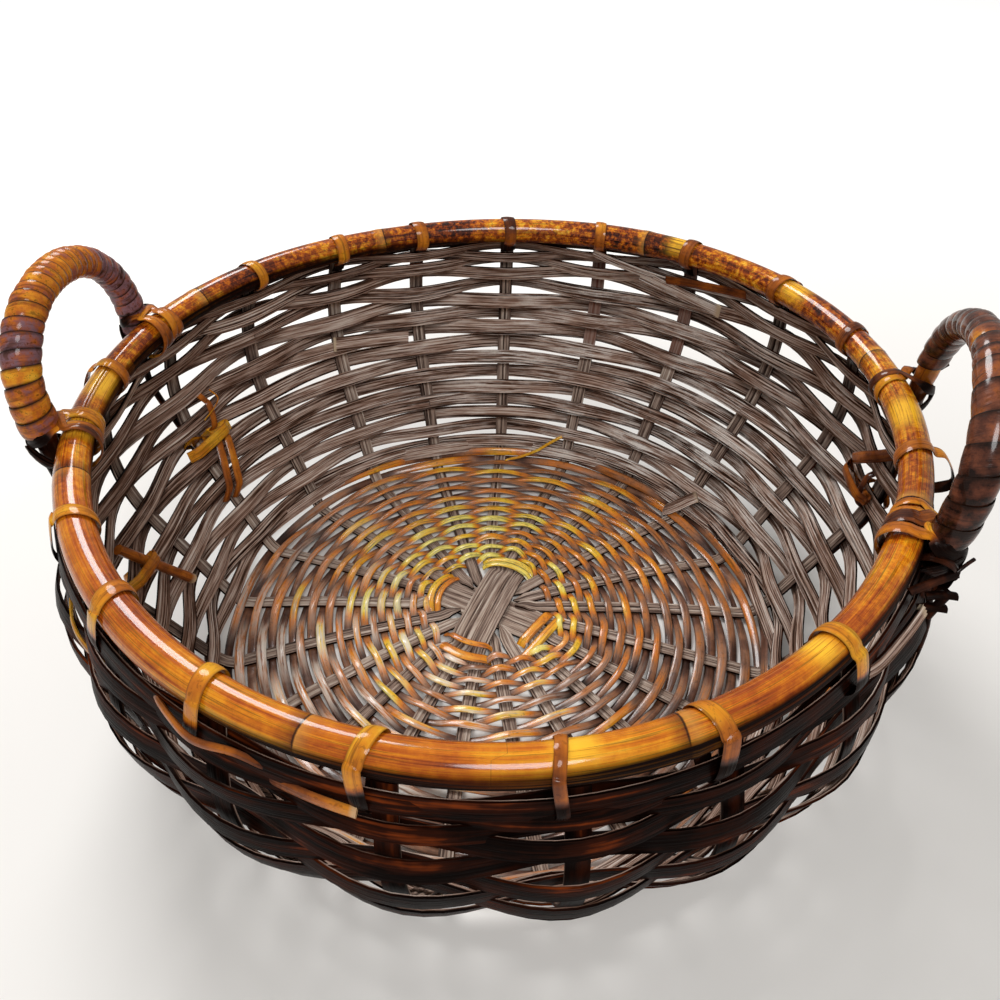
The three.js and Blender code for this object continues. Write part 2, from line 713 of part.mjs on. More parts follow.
// Leg tie: a strip round a leg and a bar inside the wall, through the gap between two rows
function addTie(leg) {
  const halfFacet = 22.5;
  const tieEndTurn = 15; // the strip's second end stops this far short of the leg's outermost line
  const ringRadius = (reach) => (reach + seatGap + tieThickness / 2) / Math.cos(radians(halfFacet));
  const legRing = ringRadius(coreRadius);
  const barRing = ringRadius(tieBarDiameter / 2);
  const loop = [];
  const arc = (centre, radius, from, to, steps) => {
    for (let step = 0; step <= steps; step += 1) {
      const turn = radians(THREE.MathUtils.mapLinear(step, 0, steps, from, to));
      loop.push([radius * Math.sin(turn), centre + radius * Math.cos(turn), centre]);
    }
  };
  arc(legRaise, legRing, halfFacet, 90, 2);
  loop.push([legRing, -stakeThickness - crossingGap, 0]);
  arc(-barRaise, barRing, 90 + halfFacet, 270 - halfFacet, 3);
  loop.push([-legRing, -stakeThickness - crossingGap, 0]);
  arc(legRaise, legRing, 270, 360 - tieEndTurn, 3);
  const stations = loop.map(([aside, raise, centre]) => {
    const onWall = (side, lift) => {
      const { point } = onBowl(leg.tieDistance, leg.footAngle, lift);
      const sideways = new THREE.Vector3(-Math.sin(leg.footAngle), Math.cos(leg.footAngle), 0);
      return point.addScaledVector(sideways, side);
    };
    const point = onWall(aside, raise);
    return { point, outward: point.clone().sub(onWall(0, centre)) };
  });
  addPiece(`leg_tie_${leg.name}`, sweep(stations, band(tieWidth, tieThickness)).geometry, redPeel);
  const barStations = [];
  const barSteps = 5;
  for (let step = 0; step <= barSteps; step += 1) {
    const shift = THREE.MathUtils.mapLinear(step, 0, barSteps, -tieBarLength / 2, tieBarLength / 2);
    barStations.push(onBowl(leg.tieDistance + shift, leg.footAngle, -barRaise));
  }
  const bar = sweep(barStations, rod(tieBarDiameter / 2, tieBarSides)).geometry;
  addPiece(`tie_bar_${leg.name}`, bar, redPeel);
}

addHoop();
addLongStakes(upperBundle, stakeThickness + seatGap, 1);
addLongStakes(lowerBundle, 0, 4);
addShortStakes();
addWeave();
addBorder();
addBindings();
addHandle('left');
addHandle('right');

// The origin lies on the floor, under the middle of the whole basket
basket.updateMatrixWorld(true);
const bounds = new THREE.Box3().setFromObject(basket);
const centre = bounds.getCenter(new THREE.Vector3());
basket.position.set(-centre.x, -centre.y, -bounds.min.z);

export default basket;
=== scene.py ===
import math
import random

import bpy
import numpy as np
from mathutils import Matrix, Vector


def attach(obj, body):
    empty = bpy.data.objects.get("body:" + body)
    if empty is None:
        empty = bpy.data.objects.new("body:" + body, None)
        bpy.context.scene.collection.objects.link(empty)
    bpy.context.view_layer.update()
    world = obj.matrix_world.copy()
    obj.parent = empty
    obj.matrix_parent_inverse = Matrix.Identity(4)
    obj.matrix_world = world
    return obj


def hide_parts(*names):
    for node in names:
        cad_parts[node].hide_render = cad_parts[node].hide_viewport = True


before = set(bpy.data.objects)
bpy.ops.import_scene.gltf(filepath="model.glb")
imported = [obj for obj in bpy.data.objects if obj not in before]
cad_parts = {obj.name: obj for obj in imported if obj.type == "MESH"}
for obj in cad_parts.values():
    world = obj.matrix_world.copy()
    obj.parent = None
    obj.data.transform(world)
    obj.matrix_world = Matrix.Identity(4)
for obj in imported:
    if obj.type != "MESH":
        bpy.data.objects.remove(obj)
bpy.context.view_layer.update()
print("frame loaded:", len(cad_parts), "nodes")

# The bowl, in metres and degrees, as the solids have it
bowl = {
    "shift": (-0.00067, 0.00276),  # the origin lies under the middle of the basket with its handles
    "baseRadius": 0.198,
    "baseLevel": 0.0039,  # middle of the stakes under the base
    # radius and height of the foot, the lower wall, its middle, its belly and the stakes' tops under the hoop
    "wall": [(0.213, 0.0175), (0.234, 0.055), (0.263, 0.110), (0.269, 0.160), (0.2562, 0.2115)],
    "rimRadius": 0.250,
    "rimHeight": 0.219,
    "caneRadius": 0.0095,
    # how the rim is out of round: waves round it, their size and the direction of the first
    "bends": [(2, 0.0059, 51.8), (3, 0.0041, 43.2)],
    "centreShift": (-0.0103, 0.0154),  # the base was started off centre
    "stakeCount": 21,
    "firstStake": 97.2,
    # how far each stake's top leans sideways from even spacing
    "stakeSway": [-0.3, 0.2, -1.0, -0.5, -0.5, 0.4, 1.0, -1.2, -2.2, -2.4, -1.8,
                  -1.6, -3.2, -2.4, 0.5, 1.0, 0.8, -2.0, -2.2, -1.0, -0.9],
}
outlineSteps = 60


def unit(vectors):
    return vectors / np.maximum(np.linalg.norm(vectors, axis=-1, keepdims=True), 1e-12)


def ease(share):
    return share * share * (3 - 2 * share)


def runningLength(points):
    return np.concatenate([[0], np.cumsum(np.linalg.norm(np.diff(points, axis=0), axis=1))])


def draw(count, pick, *limits):
    return np.array([pick(*limits) for _ in range(count)])


def smoothThrough(rows, perSpan, heldEnds=False):
    rows = np.asarray(rows, float)
    before = rows[0] if heldEnds else 2 * rows[0] - rows[1]
    after = rows[-1] if heldEnds else 2 * rows[-1] - rows[-2]
    padded = np.vstack([before, rows, after])
    t = (np.arange(perSpan) / perSpan)[:, None]
    spans = []
    for index in range(len(rows) - 1):
        a, b, c, d = padded[index:index + 4]
        curve = 2 * b + (c - a) * t + (2 * a - 5 * b + 4 * c - d) * t ** 2
        spans.append((curve + (3 * b - a - 3 * c + d) * t ** 3) / 2)
    return np.vstack([*spans, rows[-1:]])


def traceOutline():
    level = bowl["baseLevel"]
    edge = np.array([bowl["baseRadius"], level])
    foot, lower = np.array(bowl["wall"][:2])
    slope = (lower[0] - foot[0]) / (lower[1] - foot[1])
    corner = np.array([foot[0] - slope * (foot[1] - level), level])
    t = np.linspace(0, 1, outlineSteps)[:, None]
    bend = (1 - t) ** 2 * edge + 2 * t * (1 - t) * corner + t ** 2 * foot
    wall = smoothThrough(bowl["wall"], outlineSteps, heldEnds=True)
    points = np.vstack([[[0, level]], bend, wall[1:]])
    return points, runningLength(points)


outlinePoints, outlineLengths = traceOutline()
rimDistance = outlineLengths[-1]


# Distances run along the bowl, from the middle of the base up to the stakes' tops
def outlineAt(distance):
    distance = np.asarray(distance, float)
    inside = np.clip(distance, 0, rimDistance)

    def place(where):
        return np.stack([np.interp(where, outlineLengths, column) for column in outlinePoints.T], -1)

    probe = 0.001
    along = unit(place(np.minimum(inside + probe, rimDistance)) - place(np.maximum(inside - probe, 0)))
    return place(inside) + along * (distance - inside)[..., None], along


def heightAt(distance):
    return outlineAt(distance)[0][..., 1]


def distanceAtHeight(height):
    wall = outlineLengths >= bowl["baseRadius"]
    return float(np.interp(height, outlinePoints[wall, 1], outlineLengths[wall]))


def handBend(angle):
    return sum(size * np.cos(waves * (angle - math.radians(first))) for waves, size, first in bowl["bends"])


def turnDistance(angles, degrees):
    return (angles - math.radians(degrees) + math.pi) % (2 * math.pi) - math.pi


def outwardAt(angle, flat=1.0, up=0.0):
    angle, flat, up = np.broadcast_arrays(np.asarray(angle, float), flat, up)
    return np.stack([flat * np.cos(angle), flat * np.sin(angle), up], -1)


def around(angle, radius, height):
    return outwardAt(angle, radius, height) + [*bowl["shift"], 0]


def offCentre(radius):
    share = np.clip(1 - (radius / bowl["wall"][0][0]) ** 2, 0, 1)
    return np.multiply.outer(share, [*bowl["centreShift"], 0])


# A point on the bowl, raised off the middle of the stakes, with the direction that faces out of the bowl
def onBowl(distance, angle, raised=0.0):
    place, along = outlineAt(distance)
    outX, outZ = along[..., 1], -along[..., 0]
    share = np.clip(place[..., 1] / (bowl["rimHeight"] - 2 * bowl["caneRadius"]), 0, 1) ** 2
    radius = place[..., 0] + raised * outX + share * handBend(angle)
    points = around(angle, radius, place[..., 1] + raised * outZ) + offCentre(place[..., 0])
    return points, outwardAt(angle, outX, outZ)


# A point at the rim: out from the middle of the hoop's cane, square to it, and up from it
def atRim(angle, out, up):
    angle = np.asarray(angle, float)

    def onHoop(where):
        return around(where, bowl["rimRadius"] + handBend(where), bowl["rimHeight"])

    probe = 0.01
    along = unit(onHoop(angle + probe) - onHoop(angle - probe))
    away = np.stack([along[..., 1], -along[..., 0], 0 * along[..., 0]], -1)
    return onHoop(angle) + away * np.asarray(out, float)[..., None] + np.multiply.outer(up, [0, 0, 1.0])


# A point in the base, given along and across a bundle of stakes
def inBase(axis, reach, side, height):
    x = reach * math.cos(axis) - side * math.sin(axis)
    y = reach * math.sin(axis) + side * math.cos(axis)
    return around(0, 0, height) + np.stack([x, y, 0 * x], -1)


def stakeAngle(number, distance):
    number = np.asarray(number)
    sway = np.array(bowl["stakeSway"])[number % bowl["stakeCount"]]
    share = np.clip(heightAt(distance) / bowl["rimHeight"], 0, 1)
    return np.radians(bowl["firstStake"] + 360 / bowl["stakeCount"] * number + sway * share)


# Sections of a strand: side to side, and out of the bowl
def reedSection(width, thickness, ridges=3, depth=0.26):
    outer = [(side * width / 2, thickness / 2 * (1 - 0.25 * side ** 2)) for side in np.linspace(-1, 1, 5)]
    inner = []
    for index in range(2 * ridges + 1):
        side = 1 - index / ridges
        groove = depth * thickness if index % 2 else 0
        inner.append((side * width / 2, -thickness / 2 * (1 - 0.3 * side ** 4) + groove))
    return outer + inner


def peelSection(width, thickness):
    crown = [(-1, 0), (-0.72, 0.55), (-0.3, 0.95), (0.3, 0.95), (0.72, 0.55), (1, 0)]
    flat = [(0.72, -0.75), (0.3, -1), (-0.3, -1), (-0.72, -0.75)]
    return [(side * width / 2, out * thickness / 2) for side, out in crown + flat]


def roundSection(radius, sides):
    turns = np.arange(sides) * 2 * math.pi / sides
    return [(radius * math.sin(turn), radius * math.cos(turn)) for turn in turns]


def addMark(mesh, name, values):
    made = mesh.attributes.new(name, "FLOAT", "POINT")
    made.data.foreach_set("value", np.asarray(values, np.float32))


def softenEdges(piece, degrees=50):
    piece.data.shade_smooth()
    piece.data.set_sharp_from_angle(angle=math.radians(degrees))


# Sweeps a section along a path. The strand map runs across in x and along in y, both in metres. The marks are
# values along the strand that the finishes read.
def makeStrand(name, points, outwards, section, widths=1.0, thicks=1.0, twists=0.0, start=0.0, tone=0.5,
               crown=0.0, **marks):
    points = np.asarray(points, float)
    outline = np.array(section, float)
    count, sides = len(points), len(outline)
    along = unit(np.gradient(points, axis=0))
    outward = np.broadcast_to(np.asarray(outwards, float), points.shape)
    outward = unit(outward - along * np.sum(outward * along, axis=1, keepdims=True))
    across = np.cross(along, outward)
    widths, thicks, twists = [np.broadcast_to(values, count) for values in (widths, thicks, twists)]
    level, slant = np.cos(twists)[:, None], np.sin(twists)[:, None]
    outward, across = outward * level + across * slant, across * level - outward * slant
    rings = points[:, None] + across[:, None] * (outline[None, :, 0] * widths[:, None])[..., None]
    rings = rings + outward[:, None] * (outline[None, :, 1] * thicks[:, None])[..., None]
    sized = outline * [widths.mean(), thicks.mean()]
    girth = runningLength(np.vstack([sized, sized[:1]]))
    length = start + runningLength(points)
    ring, side = np.indices((count - 1, sides)).reshape(2, -1)
    corners = ((0, 0), (1, 0), (1, 1), (0, 1))
    quads = np.stack([(ring + a) * sides + (side + b) % sides for a, b in corners], 1)
    maps = np.stack([np.stack([girth[side + b], length[ring + a]], 1) for a, b in corners], 1)
    caps = np.stack([np.arange(sides), np.arange(count * sides - 1, (count - 1) * sides - 1, -1)])
    # the faces look outwards whichever way round the section runs
    area = np.sum(outline[:, 0] * np.roll(outline[:, 1], -1) - np.roll(outline[:, 0], -1) * outline[:, 1])
    if area < 0:
        quads, maps, caps = quads[:, ::-1], maps[:, ::-1], caps[:, ::-1]
    mesh = bpy.data.meshes.new(name)
    mesh.from_pydata(rings.reshape(-1, 3).tolist(), [], quads.tolist() + caps.tolist())
    capMaps = [[0, length[0]]] * sides + [[0, length[-1]]] * sides
    maps = np.vstack([maps.reshape(-1, 2), capMaps])
    mesh.uv_layers.new(name="strand").data.foreach_set("uv", maps.ravel())
    for key, values in {"tone": tone, "crown": crown, **marks}.items():
        addMark(mesh, key, np.repeat(np.broadcast_to(values, count), sides))
    for key, values in (("side", outline[:, 0]), ("face", outline[:, 1])):
        addMark(mesh, key, np.tile(values / np.abs(values).max(), count))
    piece = bpy.data.objects.new(name, mesh)
    bpy.context.scene.collection.objects.link(piece)
    softenEdges(piece)
    return piece


def finishPiece(piece, material, slot, *nodes):
    piece.data.materials.append(material)
    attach(piece, "root")
    if nodes:
        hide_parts(*nodes)


def colour(code):
    channels = [int(code[index:index + 2], 16) / 255 for index in (1, 3, 5)]
    return [c / 12.92 if c <= 0.04045 else ((c + 0.055) / 1.055) ** 2.4 for c in channels] + [1.0]


def setInputs(node, inputs):
    for key, value in inputs.items():
        if isinstance(value, bpy.types.NodeSocket):
            node.id_data.links.new(value, node.inputs[key])
        else:
            node.inputs[key].default_value = value
    return node


def addNode(tree, kind, inputs, **settings):
    made = tree.nodes.new(kind)
    for key, value in settings.items():
        setattr(made, key, value)
    return setInputs(made, inputs)


# The helpers from here on add their node to the tree that their first socket belongs to
def calc(operation, first, *others):
    values = (first, *others, 0.0, 0.0)[:3]
    return addNode(first.id_data, "ShaderNodeMath", dict(enumerate(values)), operation=operation).outputs[0]


def times(first, second):
    return calc("MULTIPLY", first, second)


def timesPlus(first, second, third):
    return calc("MULTIPLY_ADD", first, second, third)


# moves a value up and down with a noise
def vary(value, noise, share):
    return timesPlus(calc("SUBTRACT", noise, 0.5), share, value)


def spread(value, low, high, newLow=0.0, newHigh=1.0):
    values = dict(enumerate((value, low, high, newLow, newHigh)))
    return addNode(value.id_data, "ShaderNodeMapRange", values).outputs[0]


def paint(share, under, over):
    over = colour(over) if isinstance(over, str) else over
    return addNode(share.id_data, "ShaderNodeMix", {0: share, 6: under, 7: over}, data_type="RGBA").outputs[2]


def ramp(value, stops):
    made = addNode(value.id_data, "ShaderNodeValToRGB", {0: value})
    elements = made.color_ramp.elements
    while len(elements) < len(stops):
        elements.new(0.5)
    for element, (position, code) in zip(elements, stops):
        element.position = position
        element.color = colour(code)
    return made.outputs[0]


def bump(height, distance):
    return addNode(height.id_data, "ShaderNodeBump", {"Height": height, "Distance": distance}).outputs[0]


def mark(tree, name):
    return addNode(tree, "ShaderNodeAttribute", {}, attribute_name=name).outputs["Fac"]


def newGroup(name, vector, numbers, results):
    group = bpy.data.node_groups.new(name, "ShaderNodeTree")
    for label in [vector, *numbers, *results]:
        group.interface.new_socket(name=label, in_out="OUTPUT" if label in results else "INPUT",
                                   socket_type="NodeSocketVector" if label == vector else "NodeSocketFloat")
    return group, group.nodes.new("NodeGroupInput").outputs, group.nodes.new("NodeGroupOutput").inputs


# Fibres that run along a strand: broad streaks of colour, fine ones, and the grooves between them, each with
# its shares of both scales, its detail and its place in the noise
def makeFibreGroup():
    group, given, result = newGroup("fibres", "Strand", ["Across", "Along"], ["Broad", "Fine", "Groove"])
    parts = addNode(group, "ShaderNodeSeparateXYZ", {0: given["Strand"]}).outputs
    streaks = [("Broad", 0.3, 0.6, 2.0, 1.7), ("Fine", 1.0, 1.5, 3.0, 5.3), ("Groove", 1.1, 0.12, 2.0, 9.1)]
    for label, across, along, detail, seed in streaks:
        x = times(times(parts[0], given["Across"]), across)
        y = times(times(parts[1], given["Along"]), along)
        where = addNode(group, "ShaderNodeCombineXYZ", {0: x, 1: y, 2: seed}).outputs[0]
        noise = {"Vector": where, "Scale": 1.0, "Detail": detail, "Roughness": 0.6}
        group.links.new(addNode(group, "ShaderNodeTexNoise", noise).outputs[0], result[label])
    return group


# Patches and specks of stain over the whole basket, with their detail, roughness and range
def makeStainGroup():
    numbers, results = ["Patch Scale", "Speck Scale"], ["Patches", "Specks"]
    group, given, result = newGroup("stain", "Position", numbers, results)
    stains = [("Patches", "Patch Scale", 4.0, 0.6, 0.35, 0.65),
              ("Specks", "Speck Scale", 3.0, 0.7, 0.42, 0.68)]
    for label, scale, detail, rough, low, high in stains:
        noise = {"Vector": given["Position"], "Scale": given[scale], "Detail": detail, "Roughness": rough}
        made = addNode(group, "ShaderNodeTexNoise", noise).outputs[0]
        group.links.new(spread(made, low, high), result[label])
    return group


fibreGroup = makeFibreGroup()
stainGroup = makeStainGroup()


def startMaterial(name):
    material = bpy.data.materials.new(name)
    material.use_nodes = True
    tree = material.node_tree
    tree.nodes.clear()
    shader = tree.nodes.new("ShaderNodeBsdfPrincipled")
    addNode(tree, "ShaderNodeOutputMaterial", {"Surface": shader.outputs[0]})
    return material, tree, shader


def useFibres(tree, across, along):
    strand = addNode(tree, "ShaderNodeUVMap", {}, uv_map="strand").outputs[0]
    return addNode(tree, "ShaderNodeGroup", {0: strand, 1: across, 2: along}, node_tree=fibreGroup).outputs


def useStain(tree, patches, specks):
    place = addNode(tree, "ShaderNodeTexCoord", {}).outputs["Object"]
    return addNode(tree, "ShaderNodeGroup", {0: place, 1: patches, 2: specks}, node_tree=stainGroup).outputs


# Split reed: a grooved grey-brown face inside the bowl and a dark stained skin outside
def makeReed(name, look):
    material, tree, shader = startMaterial(name)
    fibres = useFibres(tree, look["across"], look["along"])
    stain = useStain(tree, 24.0, 520.0)
    tone, face = mark(tree, "tone"), mark(tree, "face")
    value = timesPlus(fibres["Groove"], 0.85, times(fibres["Fine"], 0.55))
    value = calc("ADD", value, timesPlus(tone, 0.28, -0.32))
    value = timesPlus(spread(face, -0.85, -0.35), -look["grooveShade"], value)
    inner = ramp(value, look["inner"])
    inner = paint(times(spread(tone, 0.72, 0.9), 0.7), inner, look["red"])
    # painted sheen: silver-white speckled highlights on the inner face, strongest on the crowns and where the
    # sheen mark is set
    paintedSilver = times(spread(fibres["Fine"], 0.45, 0.58), spread(stain["Patches"], 0.1, 0.6))
    paintedSilver = times(paintedSilver, timesPlus(mark(tree, "sheen"), 1.1, look["paintedSilverShare"]))
    paintedSilver = times(paintedSilver, spread(mark(tree, "crown"), 0, 1, 0.3, 1))
    paintedSilver = calc("MINIMUM", times(paintedSilver, spread(stain["Specks"], 0, 1, 0.6, 1)), 0.9)
    inner = paint(paintedSilver, inner, look["paintedSilver"])
    skin = ramp(timesPlus(fibres["Broad"], 0.8, times(stain["Patches"], 0.2)), look["skin"])
    isSkin = spread(face, -0.45, -0.1)
    rough = spread(fibres["Fine"], 0.3, 0.7, look["innerRoughness"], look["innerRoughness"] + 0.2)
    skinRough = spread(stain["Patches"], 0, 1, look["skinRoughness"], look["skinRoughness"] + 0.16)
    grooves = times(fibres["Groove"], timesPlus(isSkin, -0.8, 1.0))
    setInputs(shader, {
        "Base Color": paint(mark(tree, "cut"), paint(isSkin, inner, skin), look["cut"]),
        "Roughness": addNode(tree, "ShaderNodeMix", {0: isSkin, 2: rough, 3: skinRough}).outputs[0],
        "Specular IOR Level": look["shine"],
        "Normal": bump(timesPlus(fibres["Fine"], 0.35, grooves), look["grooveDepth"]),
    })
    return material


# Peel with its varnish: the tone mark picks its colour along the ramp
def makePeel(name, look):
    material, tree, shader = startMaterial(name)
    fibres = useFibres(tree, look["across"], look["along"])
    stain = useStain(tree, look["patchScale"], 300.0)
    tone = mark(tree, "tone")
    value = vary(tone, fibres["Broad"], look["streakShare"])
    value = timesPlus(mark(tree, "crown"), look["crownShare"], value)
    base = ramp(vary(value, stain["Patches"], look["patchShare"]), look["ramp"])
    dark = times(spread(fibres["Fine"], 0.53, 0.66), look["darkShare"])
    specks = times(spread(stain["Specks"], 0.55, 0.85), look["speckShare"])
    # dark peel edges, partly painted shade where strips meet
    edge = spread(calc("ABSOLUTE", mark(tree, "side")), look["edgeStart"], 0.97, 0.0, look["edgeShare"])
    base = paint(calc("MAXIMUM", calc("MAXIMUM", dark, specks), edge), base, look["dark"])
    # painted glints: near-white highlights where the sheen mark is set
    paintedGlint = times(spread(fibres["Fine"], 0.42, 0.56), mark(tree, "sheen"))
    base = paint(times(paintedGlint, look["paintedGlintShare"]), base, look["paintedGlint"])
    setInputs(shader, {
        "Base Color": paint(mark(tree, "cut"), base, look["cut"]),
        "Roughness": spread(fibres["Fine"], 0.3, 0.7, look["roughness"], look["roughness"] + 0.18),
        "Coat Weight": spread(tone, 0.06, 0.24, 0.0, look["coat"]),
        "Coat Roughness": 0.12,
        "Specular IOR Level": look["shine"],
        "Normal": bump(timesPlus(fibres["Groove"], 0.7, fibres["Fine"]), look["grooveDepth"]),
    })
    return material


reedLook = {
    "across": 760.0,
    "along": 24.0,
    "inner": [(0.29, "#23150f"), (0.39, "#5c4336"), (0.48, "#947667"), (0.57, "#bda596"), (0.68, "#e6dad0")],
    "grooveShade": 0.12,
    "red": "#6e3322",
    # painted sheen: its colour, and the share of it everywhere
    "paintedSilver": "#eeeae4",
    "paintedSilverShare": 0.12,
    "cut": "#cdb89c",
    "skin": [(0.25, "#030101"), (0.46, "#0e0503"), (0.62, "#2d1107"), (0.84, "#8c3d14")],
    "innerRoughness": 0.42,
    "skinRoughness": 0.3,
    "shine": 0.02,
    "grooveDepth": 0.0009,
}
stakeLook = dict(reedLook, across=620.0, grooveDepth=0.0008, grooveShade=0.1, inner=[
    (0.26, "#2a1e18"), (0.38, "#66534a"), (0.48, "#967f71"), (0.58, "#b8a596"), (0.7, "#ddd0c2")])
basePeelLook = {
    "across": 640.0,
    "along": 26.0,
    "patchScale": 34.0,
    "streakShare": 0.42,
    "crownShare": 0.16,
    "patchShare": 0.2,
    "ramp": [(0.05, "#331f18"), (0.2, "#6b4534"), (0.32, "#9a6a4c"), (0.42, "#b87036"),
             (0.52, "#d4771f"), (0.64, "#ea961d"), (0.78, "#f5c42d"), (0.92, "#fbe873")],
    # painted glints: their colour and share
    "paintedGlint": "#f6ebdd",
    "paintedGlintShare": 0.9,
    "dark": "#1e100a",
    "darkShare": 0.62,
    "speckShare": 0.4,
    "edgeStart": 0.75,  # share of the half width from which the edge darkens, partly painted shade between strips
    "edgeShare": 0.75,
    "roughness": 0.26,
    "shine": 0.3,
    "coat": 0.7,
    "cut": "#cdb48e",
    "grooveDepth": 0.0005,
}
bindingLook = dict(
    basePeelLook, across=560.0, along=18.0, patchScale=45.0, streakShare=0.4, patchShare=0.24, darkShare=0.55,
    speckShare=0.35, coat=0.5, roughness=0.24, shine=0.03, edgeShare=0.5,
    ramp=[(0.05, "#120806"), (0.2, "#4a2415"), (0.32, "#7a3f1a"), (0.42, "#a0561c"),
          (0.52, "#bb6a1e"), (0.64, "#d3851f"), (0.78, "#e3a62a"), (0.92, "#efc850")])
wrapLook = dict(
    bindingLook, across=520.0, along=30.0, patchScale=150.0, patchShare=0.3, speckShare=0.6, edgeStart=0.6,
    edgeShare=1.0, coat=0.4, roughness=0.28,
    ramp=[(0.0, "#38201a"), (0.08, "#6a4542"), (0.18, "#826068"), (0.3, "#935446"),
          (0.42, "#b76223"), (0.54, "#d17d22"), (0.68, "#e49a27"), (0.85, "#f0bb3e")])
darkWrapLook = dict(
    wrapLook, coat=0.7, roughness=0.18, shine=0.06, patchShare=0.26, speckShare=0.45,
    ramp=[(0.05, "#1f110d"), (0.2, "#552f22"), (0.34, "#7a452f"), (0.5, "#a05724"), (0.7, "#d58a26"),
          (0.9, "#e8ab3a")])

wallReed = makeReed("wallReed", reedLook)
stakeReed = makeReed("stakeReed", stakeLook)
basePeel = makePeel("basePeel", basePeelLook)
bindingPeel = makePeel("bindingPeel", bindingLook)
wrapPeel = makePeel("wrapPeel", wrapLook)
darkWrapPeel = makePeel("darkWrapPeel", darkWrapLook)
print("reed and peel finishes made")

# Stakes
stakes = {
    "width": 0.0098,
    "wallWidth": 1.15,  # share by which a stake is wider in the wall
    "wallWidthRun": 0.08,
    "thickness": 0.003,
    "fanStart": 0.058,  # from here outwards a stake runs straight away from the middle
    "bundleEnd": 0.044,
    "bundlePitch": 0.0101,
    "climb": 0.0036,  # the upper bundle rides over the lower one
    "climbRun": 0.012,
    "upper": [(0, 8), (20, 9), (19, 10)],
    "lower": [(5, 13), (4, 14), (3, 15)],
    "tipReach": 0.0205,
    "tipTaper": 0.011,
    "tipLift": 0.0032,  # tips beside the lower bundle lie on it
    "wallTone": -0.14,  # stakes are darker in the wall
    "wallToneFrom": 0.012,
    "redStakes": [20, 19],  # bits of red skin on these, high in the wall
    "redTone": 0.9,
    "redFrom": 0.09,
    "toneRun": 0.02,
}
stakeSection = reedSection(stakes["width"], stakes["thickness"])


def stakeWidths(distances):
    start = bowl["baseRadius"]
    return np.interp(distances, [start, start + stakes["wallWidthRun"]], [1, stakes["wallWidth"]])


def stakeTones(number, distances, tone):
    def above(height):
        return np.clip((heightAt(distances) - height) / stakes["toneRun"], 0, 1)

    tones = tone + stakes["wallTone"] * above(stakes["wallToneFrom"])
    if number in stakes["redStakes"]:
        tones = tones + (stakes["redTone"] - tones) * above(stakes["redFrom"])
    return tones


def bundleAxis(bundle):
    spacing = 360 / bowl["stakeCount"]
    near, far = [math.radians(bowl["firstStake"] + spacing * number) for number in bundle[1]]
    return math.atan2(math.sin(near) - math.sin(far), math.cos(near) - math.cos(far))


# A long stake comes down one wall, runs under the middle and goes up the other
def addLongStakes(bundle, climb, firstNumber, tone, random_):
    axis = bundleAxis(bundle)
    end = stakes["bundleEnd"]
    distances = np.linspace(stakes["fanStart"], rimDistance, 60)
    reaches = np.linspace(end, -end, 13)
    levels = bowl["baseLevel"] + climb * ease(np.clip((end - np.abs(reaches)) / stakes["climbRun"], 0, 1))

    def joined(near, middle, far):
        return np.concatenate([near[:2:-1], middle, far[3:]])

    for index, (near, far) in enumerate(bundle):
        nearPoints, nearOut = onBowl(distances, stakeAngle(near, distances))
        farPoints, farOut = onBowl(distances, stakeAngle(far, distances))
        middle = inBase(axis, reaches, (1 - index) * stakes["bundlePitch"], levels)
        middle = middle + offCentre(np.abs(reaches))
        middle = smoothThrough(np.vstack([nearPoints[2::-1], middle, farPoints[:3]]), 3)
        count = len(middle)
        ownTone = tone + random_.uniform(-0.05, 0.05)
        tones = [stakeTones(number, distances, ownTone) for number in (near, far)]
        widths = stakeWidths(distances)
        piece = makeStrand(
            f"longStake{firstNumber + index}", joined(nearPoints, middle, farPoints),
            joined(nearOut, np.tile([0, 0, -1.0], (count, 1)), farOut), stakeSection,
            widths=joined(widths, np.ones(count), widths),
            tone=joined(tones[0], np.full(count, ownTone), tones[1]), start=random_.uniform(0, 5))
        finishPiece(piece, stakeReed, "dark_reed", f"stake_long_{firstNumber + index}")


# A short stake starts in a shaved tip near the middle, where neighbours share the room
def addShortStakes(random_):
    lower = sum(stakes["lower"], ())
    taken = sum(stakes["upper"], lower)
    total = bowl["stakeCount"]
    taper = stakes["tipTaper"]
    numbers = [number for number in range(total) if number not in taken]
    for index, number in enumerate(numbers, 1):
        inner = stakes["tipReach"] + random_.uniform(0, 0.002)
        distances = np.concatenate([np.linspace(inner, stakes["fanStart"], 24, endpoint=False),
                                    np.linspace(stakes["fanStart"], rimDistance, 60)])
        onLower = any((number + step) % total in lower for step in (-1, 1))
        lift = stakes["tipLift"] * onLower * np.clip((inner + taper + 0.006 - distances) / 0.01, 0, 1)
        points, outwards = onBowl(distances, stakeAngle(number, distances), -lift)
        room = np.clip(2 * math.pi / total * distances / stakes["width"], 0, 1)
        widths = np.clip((distances - inner) / taper, 0.15, 1) ** 0.6 * room * stakeWidths(distances)
        tones = stakeTones(number, distances, random_.uniform(0.35, 0.6))
        piece = makeStrand(f"shortStake{index}", points, outwards, stakeSection, widths=widths, tone=tones,
                           start=random_.uniform(0, 5))
        finishPiece(piece, stakeReed, "dark_reed", f"stake_short_{index}")


stakeRandom = random.Random(4)
addLongStakes(stakes["upper"], stakes["climb"], 1, 0.45, stakeRandom)
addLongStakes(stakes["lower"], 0.0, 4, 0.56, stakeRandom)
addShortStakes(stakeRandom)
print("stakes made")

weaveSteps = 8  # rings of a weaver from one stake to the next


